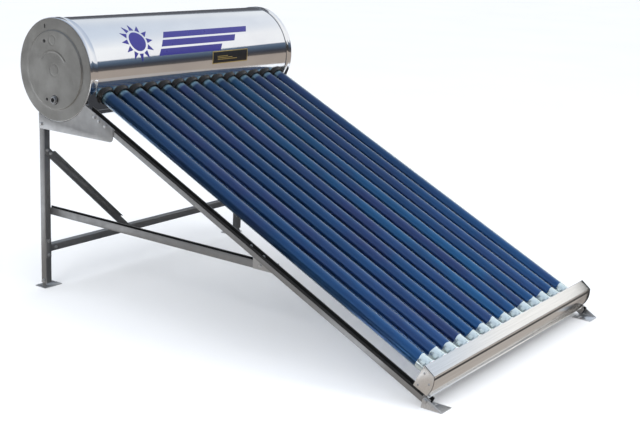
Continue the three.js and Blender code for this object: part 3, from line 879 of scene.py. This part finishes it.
def add_cap_fittings(name, side):
    """Rubber plugs in the cap's small holes, the gasket round the water port, and the vent's clip."""
    crown, side_wall = [(0, 0.0022), (0.0036, 0.0021), (0.0060, 0.0014)], [(0.0072, 0.0003), (0.0072, -0.0005)]
    plug = crown + side_wall + [(0, -0.0005)]
    for label, y, z, scale in (("upper", 0.056, 0.107, 1.0), ("lower", 0.044, -0.119, 0.85)):
        profile = [(r * scale, h * scale) for r, h in plug]
        turned(f"cap_plug_{label}_{name}", profile, RUBBER, 40, matrix=on_cap(side, z, y, CAP["face"]))
    hole = PORT["hole"]
    gasket = [(hole, -0.0002), (0.0185, -0.0002), (0.0190, 0.0004), (0.0182, 0.0011), (hole, 0.0011)]
    matrix = on_cap(side, -PORT["drop"], 0, CAP["face"])
    turned(f"port_gasket_{name}", gasket, RUBBER, 56, loop=True, matrix=matrix)
    end, half = 0.0022, 0.006
    outline = arc((0, half), end, 0, math.pi, 8) + arc((0, -half), end, math.pi, 2 * math.pi, 8)
    matrix = on_cap(side, 0.165, 0.055, CAP_RIM) @ Matrix.Rotation(QUARTER, 4, "Z")
    how = {"matrix": matrix, "bevel": 0.0004}
    extruded(f"cap_vent_clip_{name}", "z", outline, -0.0008, 0.0012, RUBBER, **how)


def round_shell(x, v, radius):
    angle = v / TANK_RADIUS
    return (x, -radius * math.cos(angle), radius * math.sin(angle))


def add_patch(name, outline_rows, look, layer=0):
    """A thin printed film on the tank, from rows of (x, height round the shell above the middle)."""
    under, thickness, layer_lift = TANK_RADIUS + 0.00015, 0.00025, 0.00028
    under += layer_lift * layer
    mesh = bmesh.new()
    rims = []
    for out in (under + thickness, under):
        rows = [[mesh.verts.new(round_shell(x, v, out)) for x, v in row] for row in outline_rows]
        for low, high in zip(rows, rows[1:]):
            for k in range(len(low) - 1):
                mesh.faces.new((low[k], low[k + 1], high[k + 1], high[k]))
        right, left = [row[-1] for row in rows[1:-1]], [row[0] for row in rows[-2:0:-1]]
        rims.append(rows[0] + right + rows[-1][::-1] + left)
    skin(mesh, rims)
    piece(name, mesh, look, matrix=TANK)


def band(x0, x1, v0, v1, lean, steps=10):
    """Rows for a slanted band: its upper edge is set over by lean."""
    rows = []
    for t in evenly(0, 1, steps):
        v = v0 + (v1 - v0) * t
        rows.append([(x + lean * t, v) for x in evenly(x0, x1, 12)])
    return rows


SUN = {"place": (-0.345, 0.118), "disc": 0.042, "rays": (0.052, 0.084), "ray": 0.0105, "point": 0.0006}
STRIPES = ((-0.195, 0.335, 0.124, 0.152), (-0.222, 0.235, 0.087, 0.115), (-0.249, 0.130, 0.050, 0.078))


def add_sun(blue):
    """A disc with twelve pointed rays."""
    sun_x, sun_v = SUN["place"]
    near, far = SUN["rays"]
    rows = []
    for t in evenly(-0.5, 0.5, 24):
        v = SUN["disc"] * math.sin(math.pi * t)
        half = max(math.sqrt(max(SUN["disc"] ** 2 - v ** 2, 0)), 0.0004)
        rows.append([(x, sun_v + v) for x in evenly(sun_x - half, sun_x + half, 12)])
    add_patch("decal_sun_disc", rows, blue)
    for ray in range(12):
        angle = math.pi * ray / 6
        outward = Vector((math.cos(angle), math.sin(angle)))
        across = Vector((-outward.y, outward.x))
        rows = []
        for t in evenly(0, 1, 6):
            centre = Vector((sun_x, sun_v)) + outward * (near + (far - near) * t)
            half = SUN["ray"] * (1 - t) + SUN["point"]
            rows.append([tuple(centre + across * half * j) for j in (-1, 0, 1)])
        add_patch(f"decal_sun_ray_{ray + 1:02d}", rows, blue)


def add_decals():
    """An abstract blue mark, a sun over three stripes, and a plain black plate with a gold border."""
    blue = printed_film("blue_print", (0.018, 0.015, 0.21))
    black = printed_film("black_print", (0.008, 0.008, 0.009))
    gold = printed_film("gold_print", (0.62, 0.47, 0.17), 0.8)
    add_sun(blue)
    for k, stripe in enumerate(STRIPES, start=1):
        add_patch(f"decal_stripe_{k}", band(*stripe, 0.020), blue)
    add_patch("decal_plate_border", band(0.070, 0.302, -0.006, 0.047, 0.008), gold)
    add_patch("decal_plate_face", band(0.0745, 0.2985, -0.0025, 0.0435, 0.007), black, 1)
    for k, v in enumerate((0.010, 0.0165, 0.023), start=1):
        line = band(0.105, 0.262 - 0.03 * k, v, v + 0.003, 0.001, 2)
        add_patch(f"decal_plate_line_{k}", line, gold, 2)


# ---------------------------------------------------------------- tubes


def dome(radius, end, steps):
    """The round lower end of a tube, from its side to its tip."""
    return arc((0, end - radius), radius, 0, QUARTER, steps)


def add_glass(number):
    """A tube's outer glass, open at the tank, with the sealed nipple at its tip."""
    radius, wall, tip = TUBE["radius"], TUBE["wall"], TUBE["end"]
    stations = evenly(TUBE["start"], TUBE["straight"], 16)
    outside = [(radius, s) for s in stations] + dome(radius, tip, 12)[:-2]
    nipple = [(0.0042, tip + 0.0006), (0.0034, tip + 0.0030), (0.0018, tip + TUBE["tip"] - 0.001)]
    nipple.append((0, tip + TUBE["tip"]))
    inside = [(radius - wall, s) for s in stations] + dome(radius - wall, tip - wall, 12)[:-1]
    inside.append((0, tip - wall))
    how = {"replaces": [f"vacuum_tube_{number}"], "matrix": along_tube(number), "sharp": 60}
    turned(f"glass_tube_{number}", inside[::-1] + outside + nipple, GLASS, 48, **how)


def add_absorber(number, tint):
    """A tube's inner glass, with the dark coating on it."""
    core, start, end, wall = ABSORBER["radius"], ABSORBER["start"], ABSORBER["end"], TUBE["wall"]
    outside = [(core, s) for s in evenly(start, end - core, 16)[:-1]] + dome(core, end, 10)[:-1] + [(0, end)]
    inside = [(0, end - wall)] + dome(core - wall, end - wall, 10)[-2::-1] + [(core - wall, start)]
    how = {"matrix": along_tube(number), "sharp": 60}
    turned(f"absorber_tube_{number}", inside + outside, selective_coating(number, tint), 48, **how)


def add_getter(number):
    """The film inside a tube's tip, with a ragged edge."""
    wall, thin, ragged = TUBE["wall"], GETTER["film"], random.Random(int(number))
    film = TUBE["radius"] - wall - GETTER["clear"]
    inner_tip = TUBE["end"] - wall
    phases = [ragged.uniform(0, 2 * math.pi) for _ in range(3)]
    top = GETTER["top"] + ragged.uniform(-0.006, 0.004)
    tip = inner_tip - GETTER["clear"]
    sides = evenly(top, TUBE["end"] - TUBE["radius"], 4)[:-1]
    outside = [(film, s) for s in sides] + dome(film, tip, 10)[:-1]
    inside = [(r - thin, s) for r, s in outside[::-1] if r > 2 * thin]
    mesh = bmesh.new()
    lathe(mesh, [(0, inner_tip - 2 * thin)] + inside + outside + [(0, tip)], 48)
    for vertex in mesh.verts:
        if vertex.co.z < top + 0.001:
            angle = math.atan2(vertex.co.y, vertex.co.x)
            waves = sum(math.sin((k + 2) * angle + phase) for k, phase in enumerate(phases))
            vertex.co.z += GETTER["ripple"] * waves
    piece(f"getter_film_{number}", mesh, SILVERING, matrix=along_tube(number), sharp=60)


def add_seal(number):
    """A moulded rubber ring: a lip that lies on the round shell, a waist and a nose that grips the tube."""
    bore, seat = TUBE["radius"] + 0.0002, TANK_RADIUS + GAP
    radius, height, neck = SEAL["radius"], SEAL["height"], SEAL["neck"]
    root, lip, top = seat - SEAL["depth"], seat + SEAL["lip"], seat + height
    corner, bead = 0.0018, 0.0016
    profile = [
        (bore, root), (neck, root), (neck, seat), (radius, seat),
        *arc((radius - corner, lip - corner), corner, 0, QUARTER, 4),
        (0.0362, lip + 0.0006), (0.0338, lip + 0.0030), (0.0326, lip + 0.0060),
        *arc((SEAL["nose"] - bead, top - bead), bead, -0.3, QUARTER, 6), (bore, top),
    ]
    mesh = bmesh.new()
    lathe(mesh, profile, 64, loop=True)
    for vertex in mesh.verts:
        fall = TANK_RADIUS - math.sqrt(TANK_RADIUS ** 2 - vertex.co.y ** 2)
        share = min(max(1 - (vertex.co.z - seat) / height, 0), 1)
        vertex.co.z -= fall * share
    node = f"dust_ring_{number}"
    piece(f"rubber_seal_{number}", mesh, RUBBER, [node], along_tube(number), sharp=45)


def add_tail_cup(number):
    """A milky cup that holds a tube's tip in the tail rail."""
    back, hole, wall = TAIL["back"], TAIL["hole"] - 0.0004, CUP["wall"]
    outer, flange, mouth, floor = CUP["radius"], CUP["flange"], CUP["mouth"], CUP["floor"]
    inner = TUBE["radius"] + 0.0002
    profile = [
        (0.0052, floor + 0.002), (0.017, floor + 0.0016), (hole - 0.006, floor - 0.004),
        (hole, floor - 0.014), (hole, back - 0.0001), (flange, back - 0.0001), (flange + 0.0003, back - 0.0012),
        (flange - 0.0004, back - 0.0022), (outer + 0.0004, back - 0.0030), (outer, mouth + 0.002),
        (outer - 0.0006, mouth), (inner + 0.0002, mouth), (inner, mouth + 0.0012), (inner, floor - 0.012),
        (inner - 0.004, floor - 0.004 - wall), (0.017, floor + 0.0001), (0.0052, floor + 0.0005),
    ]
    how = {"loop": True, "matrix": along_tube(number), "sharp": 45}
    turned(f"tail_cup_{number}", profile, MILKY, 56, **how)


# ---------------------------------------------------------------- tail rail


def tail_face(steps):
    """The rail's convex front, from crest to chin, as (down-slope, normal)."""
    a, b, c = Vector(TAIL["crest"]), Vector(TAIL["bulge"]), Vector((TAIL["chin"], LIP_TOP))
    return [bezier(a, b, c, t) for t in evenly(0, 1, steps)]


def tail_outline(path):
    return [(-along, normal) for along, normal in path]


def add_tail_rail():
    face = tail_face(24)
    back_top, lip_end = (TAIL["back"], TAIL["top"]), (TAIL["chin"] + TAIL["lip"], LIP_TOP)
    start = rounded([(TAIL["back"], TAIL["bottom"]), back_top, face[0]], 0.004, 8)[:-1]
    crest = rounded([start[-1], face[0], face[3]], 0.005, 8)[1:-1]
    chin = rounded([face[-3], face[-1], lip_end], 0.0024, 6)[1:-1]
    section = sheet(tail_outline(start + crest + face[4:-2] + chin + [lip_end]), TAIL["wall"])
    mesh = bmesh.new()
    prism(mesh, "x", section, tail_low.x, tail_high.x)
    obj = link("polished_tail_rail", mesh, SLOPE_FRAME)
    holes = bmesh.new()
    for number in TUBES:
        hole = circle((0, tube_x(number)), TAIL["hole"], 40)
        prism(holes, "y", hole, -TAIL["back"] - 0.01, -TAIL["back"] + 0.01)
    cut(obj, holes)
    soften(obj, SHEET_EDGE, angle=50)
    finish_piece(obj, POLISHED, ["tail_rail"])


def add_crest_painted_reflection():
    """A black strip just below the tail rail's crest that paints the dark reflected line there."""
    section = sheet(tail_outline(tail_face(24)[2:5]), -0.0006)
    low, high = tail_low.x + 0.001, tail_high.x - 0.001
    extruded("tail_crest_painted_reflection", "x", section, low, high, RUBBER, matrix=SLOPE_FRAME)


def add_tail_end(name, side):
    """A satin plate on the tail rail's end, with a black trim at the joint and three rivets."""
    node = f"tail_end_plate_{name}"
    low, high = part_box(node)
    edge = [(TAIL["back"], TAIL["top"])] + tail_face(20)
    leaf = tail_outline([(TAIL["back"], TAIL["bottom"])] + edge)
    how = {"replaces": [node], "matrix": SLOPE_FRAME, "bevel": PLATE_EDGE}
    extruded(f"satin_tail_end_{name}", "x", leaf, low.x, high.x, SATIN, **how)

    joint, strip = side * tail_high.x, sheet(tail_outline(edge), -0.0011)
    start, end = joint - side * 0.0006, joint + side * 0.0012
    how = {"matrix": SLOPE_FRAME, "bevel": 0.0002}
    extruded(f"tail_edge_trim_{name}", "x", strip, start, end, RUBBER, **how)

    outer = side * distances(node)[1]
    rivet = [(0, 0.0024), (0.0020, 0.0022), (0.0036, 0.0013), (0.0042, 0), (0, 0)]
    for k, (along, normal) in enumerate(((1.896, 0.030), (1.928, 0.008), (1.896, -0.020)), start=1):
        place = Matrix.Translation((outer, -along, normal)) @ Matrix.Rotation(side * QUARTER, 4, "Y")
        turned(f"tail_end_rivet_{k}_{name}", rivet, ZINC, 24, matrix=SLOPE_FRAME @ place)


# ---------------------------------------------------------------- stand


def add_channels(name, side):
    """A side's front rail, rear leg and side brace."""
    rail = channel(RAIL_WEB, RAIL["top"], side * rail_low.x, side * rail_high.x)
    leg = channel(leg_low.y, leg_high.y, side * leg_low.x, side * leg_high.x)
    brace = channel(brace_low.z, brace_high.z, side * brace_low.x, side * brace_high.x)
    for part, axis, section, low, high, matrix in (
        ("front_rail", "y", rail, -RAIL["end"], -RAIL["start"], SLOPE_FRAME),
        ("rear_leg", "z", swapped(leg), leg_low.z, leg_high.z, Matrix()),
        ("side_brace", "y", brace, brace_low.y, brace_high.y, Matrix()),
    ):
        how = {"replaces": [f"{part}_{name}"], "matrix": matrix, "bevel": SHEET_EDGE}
        extruded(f"channel_{part}_{name}", axis, section, low, high, FRAME_STEEL, **how)


def shade_strip_section(web, mouth, low, high):
    """The section of a black strip just inside a channel, which paints the shade in its hollow."""
    inset, short, thickness = PLATE + 0.0001, 0.0012, 0.0007
    inward = math.copysign(1, mouth - web)
    floor, edge = web + inward * inset, mouth - inward * short
    path = [(edge, high - inset), (floor, high - inset), (floor, low + inset), (edge, low + inset)]
    return sheet(rounded(path, BEND - PLATE + 0.0002, 3), thickness * inward)


def edge_trim(edge, outer, side):
    """The section of a black strip over a flange's free edge and down its outer face, which paints the rail's
    shaded edge.
    """
    clear, reach, thickness = 0.0002, 0.0075, 0.0009
    inner = outer - side * (PLATE + 0.0010)
    outer += side * clear
    path = [(edge - reach, inner), (edge + clear, inner), (edge + clear, outer), (edge - reach, outer)]
    return sheet(rounded(path, 0.0006, 3), -thickness * side)


def add_shade_strips(name, side):
    """Black strips of painted shade in a front rail, over its outer edge, and in a side brace."""
    low, high = sorted((side * rail_low.x, side * rail_high.x))
    section = shade_strip_section(RAIL_WEB, RAIL["top"], low, high)
    start, end = -RAIL["end"] + 0.001, -RAIL["start"] - 0.001
    extruded(f"rail_shade_strip_{name}", "y", section, start, end, SHADE_STRIPS, matrix=SLOPE_FRAME)
    section = edge_trim(RAIL["top"], side * rail_high.x, side)
    start, end = -TAIL["crest"][0], -SADDLE["front"] - 0.010
    extruded(f"rail_edge_shade_strip_{name}", "y", section, start, end, SHADE_STRIPS, matrix=SLOPE_FRAME)
    low, high = sorted((side * brace_low.x, side * brace_high.x))
    section = shade_strip_section(brace_low.z, brace_high.z, low, high)
    extruded(f"brace_shade_strip_{name}", "y", section, brace_low.y + 0.001, brace_high.y - 0.001, SHADE_STRIPS)


def add_crossbar():
    section = channel(crossbar_low.y, crossbar_high.y, crossbar_low.z, crossbar_high.z)
    how = {"replaces": ["rear_crossbar"], "bevel": SHEET_EDGE}
    extruded("channel_crossbar", "x", section, crossbar_low.x, crossbar_high.x, FRAME_STEEL, **how)


def diagonal_frame():
    """A frame at the diagonal's upper end, with +X down along it, on the face that it lies against."""
    top, foot = Vector(DIAGONAL["top"]), Vector(DIAGONAL["foot"])
    run = foot - top
    place = GROUND @ Matrix.Translation((top.x, leg_low.y - TANK_AXIS.y, top.y))
    return place @ Matrix.Rotation(math.atan2(-run.y, run.x), 4, "Y"), run.length


def add_diagonal():
    """A channel from the left rear leg down to the crossbar, on a strap that is bolted at both ends."""
    matrix, length = diagonal_frame()
    half, wide = DIAGONAL["width"] / 2, DIAGONAL["strap"] / 2
    section = channel(-GAP, -GAP - DIAGONAL["depth"], -half, half)
    start, end = DIAGONAL["top_strap"], length - DIAGONAL["foot_strap"]
    how = {"replaces": ["rear_diagonal_brace"], "matrix": matrix, "bevel": SHEET_EDGE}
    # The channel wears the darker copy of the frame steel, which is painted shade.
    extruded("channel_diagonal_brace", "x", section, start, end, SHADED_STEEL, **how)
    tongue = arc((0, 0), wide, QUARTER, 3 * QUARTER, 12) + arc((length, 0), wide, -QUARTER, QUARTER, 12)
    low, high = -GAP - PLATE - 0.0002, -GAP + 0.0001
    how = {"matrix": matrix, "bevel": SHEET_EDGE}
    extruded("diagonal_strap", "y", swapped(tongue), low, high, FRAME_STEEL, **how)


def add_saddle(name, side):
    """A plate under the tank's end with a turned flange along its saddle."""
    radius, drop, bend = SADDLE["radius"], SADDLE["drop"], SADDLE["corner"]
    rail_reach = math.sqrt(radius ** 2 - RAIL["top"] ** 2)

    def from_slope(along):
        point = Matrix.Rotation(SLOPE, 4, "X") @ Vector((0, -along, RAIL["top"]))
        return point.y, point.z

    front, nose = from_slope(rail_reach), from_slope(SADDLE["front"])
    rear_angle = math.asin(SADDLE["rear"] / radius) - QUARTER
    saddle = arc((0, 0), radius, rear_angle, math.atan2(front[1], front[0]), 48)
    corner = arc((nose[0] + bend, bend - drop), bend, -math.pi, -QUARTER, 8)
    outline = saddle + [nose] + corner + [(SADDLE["rear"], -drop)]
    node = f"tank_bracket_{name}"
    outer = distances(node)[1]
    inner = outer - PLATE
    mesh = bmesh.new()
    prism(mesh, "x", outline, side * inner, side * outer)
    prism(mesh, "x", sheet(saddle, PLATE), side * (inner - SADDLE["flange"]), side * (outer - 0.0001))
    piece(f"saddle_bracket_{name}", mesh, BRACKET_STEEL, [node], TANK, PLATE_EDGE)


def refined(name, node, look, bevel, body=STAND, holes=()):
    """A copy of a CAD node with its facets merged and its edges softened, standing in for it."""
    mesh = bmesh.new()
    mesh.from_mesh(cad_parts[node].data)
    bmesh.ops.remove_doubles(mesh, verts=mesh.verts, dist=1e-6)
    bmesh.ops.dissolve_limit(mesh, angle_limit=math.radians(0.5), verts=mesh.verts, edges=mesh.edges)
    obj = link(name, mesh, Matrix())
    if holes:
        cutters = bmesh.new()
        for hole in holes:
            prism(cutters, "z", circle(hole, 0.0055, 24), -0.01, 0.01)
        cut(obj, cutters)
    soften(obj, bevel)
    finish_piece(obj, look, [node], body)


def add_plates_and_feet(name, side):
    refined(f"gusset_{name}", f"gusset_plate_{name}", BRACKET_STEEL, PLATE_EDGE)
    refined(f"t_plate_{name}", f"crossbar_t_plate_{name}", FRAME_STEEL, PLATE_EDGE)
    for end, across in (("rear", 0.028), ("front", 0.010)):
        node = f"{end}_foot_{name}"
        low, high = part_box(node)
        middle = (low + high) / 2
        from_middle = abs(middle.x) - 0.012
        holes = [(side * (from_middle + offset), middle.y + 0.012) for offset in (-across, across / 2)]
        # The front feet get the lighter copy of the zinc plate (painted light), and the rear feet get the
        # darker one (painted shade).
        refined(f"{end}_foot_plate_{name}", node, FOOT_STEEL_LIT_AND_SHADED[end], 0.0005, node, holes)


# ---------------------------------------------------------------- fasteners


def hexagon(mesh, radius, low, high):
    """A six-sided block, chamfered at both ends."""
    small, chamfer = 0.9 * radius, 0.06 * radius
    levels = (small, low), (radius, low + chamfer), (radius, high - chamfer), (small, high)
    rings = [ring(mesh, circle((0, 0), r, 6), z) for r, z in levels]
    skin(mesh, rings)
    mesh.faces.new(rings[0])
    mesh.faces.new(rings[-1])


def bolt_mesh(grip, scale):
    """A hexagon bolt along Z through parts from -grip to 0: head above and nut below, each on its washer."""
    sizes = (0.0088, 0.0014, 0.0073, 0.0053, 0.0062, 0.0040)
    washer, thick, across, head, nut, shank = (scale * size for size in sizes)
    edge = [(washer, 0), (washer, thick * 0.8), (washer - thick * 0.3, thick)]
    mesh = bmesh.new()
    lathe(mesh, [(0, 0), *edge, (0, thick)], 32)
    hexagon(mesh, across, thick, thick + head)
    under = -grip - thick
    lathe(mesh, [(0, under), (washer, under), (washer, -grip), (0, -grip)], 32)
    hexagon(mesh, across, under - nut, under)
    end = under - nut - 0.003 * scale
    lathe(mesh, [(0, end), (shank * 0.8, end), (shank, end + 0.0008), (shank, 0), (0, 0)], 20)
    return mesh


def add_bolt(name, place, direction, grip=2 * PLATE + GAP, replaces=(), scale=0.8):
    """A bolt with its head's washer at a place, pointing outwards along a direction."""
    turn = Vector(direction).to_track_quat("Z", "X").to_matrix().to_4x4()
    piece(name, bolt_mesh(grip, scale), ZINC, replaces, Matrix.Translation(place) @ turn, sharp=25)


def add_stand_bolts(name, side):
    away, front = Vector((side, 0, 0)), Vector((0, -1, 0))
    bracket_face = side * distances(f"tank_bracket_{name}")[1]
    web_middle = RAIL["top"] - RAIL["height"] / 2
    for k, along in enumerate((0.263, 0.291, 0.328), start=1):
        place = SLOPE_FRAME @ Vector((bracket_face, -along, web_middle))
        add_bolt(f"bracket_rail_bolt_{k}_{name}", place, away)
    place = (bracket_face, leg_low.y + 0.013, 0.6823)
    add_bolt(f"bracket_leg_bolt_{name}", place, away, scale=0.85)

    brace_middle = (brace_low.z + brace_high.z) / 2
    for k, share in enumerate((0.25, 0.72), start=1):
        y = gusset_low.y + (gusset_high.y - gusset_low.y) * share
        add_bolt(f"gusset_brace_bolt_{k}_{name}", (side * gusset_high.x, y, brace_middle), away)
        along = (TANK_AXIS.y - y + web_middle * math.sin(SLOPE)) / math.cos(SLOPE)
        place = SLOPE_FRAME @ Vector((side * (rail_low.x + PLATE), -along, web_middle))
        add_bolt(f"gusset_rail_bolt_{k}_{name}", place, away)
    place = (side * (brace_high.x - PLATE), (leg_low.y + leg_high.y) / 2, brace_middle)
    add_bolt(f"brace_leg_bolt_{name}", place, -away)

    bar, tab = t_plate_high.x - 0.013, t_plate_low.x + 0.010
    for k, z in enumerate((t_plate_low.z + 0.013, t_plate_high.z - 0.011), start=1):
        add_bolt(f"t_plate_leg_bolt_{k}_{name}", (side * bar, t_plate_low.y, z), front)
    z = (crossbar_low.z + crossbar_high.z) / 2
    add_bolt(f"t_plate_tab_bolt_{name}", (side * tab, t_plate_low.y, z), front)

    upward = SLOPE_FRAME.to_3x3() @ Vector((0, 0, 1))
    place = SLOPE_FRAME @ Vector((side * (rail_high.x - 0.012), -TAIL["chin"] - 0.006, LIP_TOP))
    add_bolt(f"tail_lip_screw_{name}", place, upward, 0.0016, scale=0.5)


def add_pivot_bolt(end, name, side):
    """A foot's pivot bolt, with its head outside and its nut inside."""
    node = f"{end}_foot_{name}_bolt"
    low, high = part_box(node)
    middle = (low + high) / 2
    if end == "rear":
        outer, inner = rail_high.x + GAP, rail_high.x - 2 * PLATE - 2 * GAP
    else:
        outer, inner = distances(f"{end}_foot_{name}")[1] + GAP, rail_high.x - PLATE - GAP
    place = (side * outer, middle.y, middle.z)
    add_bolt(f"{end}_pivot_bolt_{name}", place, (side, 0, 0), outer - inner, [node], 1.0)


def add_diagonal_bolts():
    matrix, length = diagonal_frame()
    for k, along in enumerate((-0.004, 0.018, length), start=1):
        add_bolt(f"diagonal_bolt_{k}", matrix @ Vector((along, -GAP - PLATE, 0)), (0, -1, 0))


# ---------------------------------------------------------------- assembly

bpy.context.scene.view_settings.view_transform = "Standard"
add_camera()
add_sky()
add_floor()
add_surroundings()
add_lights()

for node_name, node_look in (("inner_tank", BRUSHED), ("foam_insulation", rigid_foam())):
    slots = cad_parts[node_name].data.materials
    slots.clear()
    slots.append(node_look.material)

add_tank_shell()
add_shell_seam()
add_decals()
for side_name, side_sign in SIDES.items():
    add_end_cap(side_name, side_sign)
    add_cap_band(side_name, side_sign)
    add_port(side_name, side_sign)
    add_cap_fittings(side_name, side_sign)
    add_saddle(side_name, side_sign)
    add_channels(side_name, side_sign)
    add_shade_strips(side_name, side_sign)
    add_plates_and_feet(side_name, side_sign)
    add_stand_bolts(side_name, side_sign)
    add_tail_end(side_name, side_sign)
    for end_name in ("rear", "front"):
        add_pivot_bolt(end_name, side_name, side_sign)
add_crossbar()
add_diagonal()
add_diagonal_bolts()
add_tail_rail()
add_crest_painted_reflection()

TINTS = {"violet": (1.4, 0.98, 1.0), "blue": (1.0, 1.0, 1.0), "azure": (1.0, 1.35, 1.22)}
UNUSUAL = {"03": "violet", "07": "violet", "12": "violet", "08": "azure", "10": "azure"}
for tube_number in TUBES:
    add_glass(tube_number)
    add_absorber(tube_number, TINTS[UNUSUAL.get(tube_number, "blue")])
    add_getter(tube_number)
    add_seal(tube_number)
    add_tail_cup(tube_number)
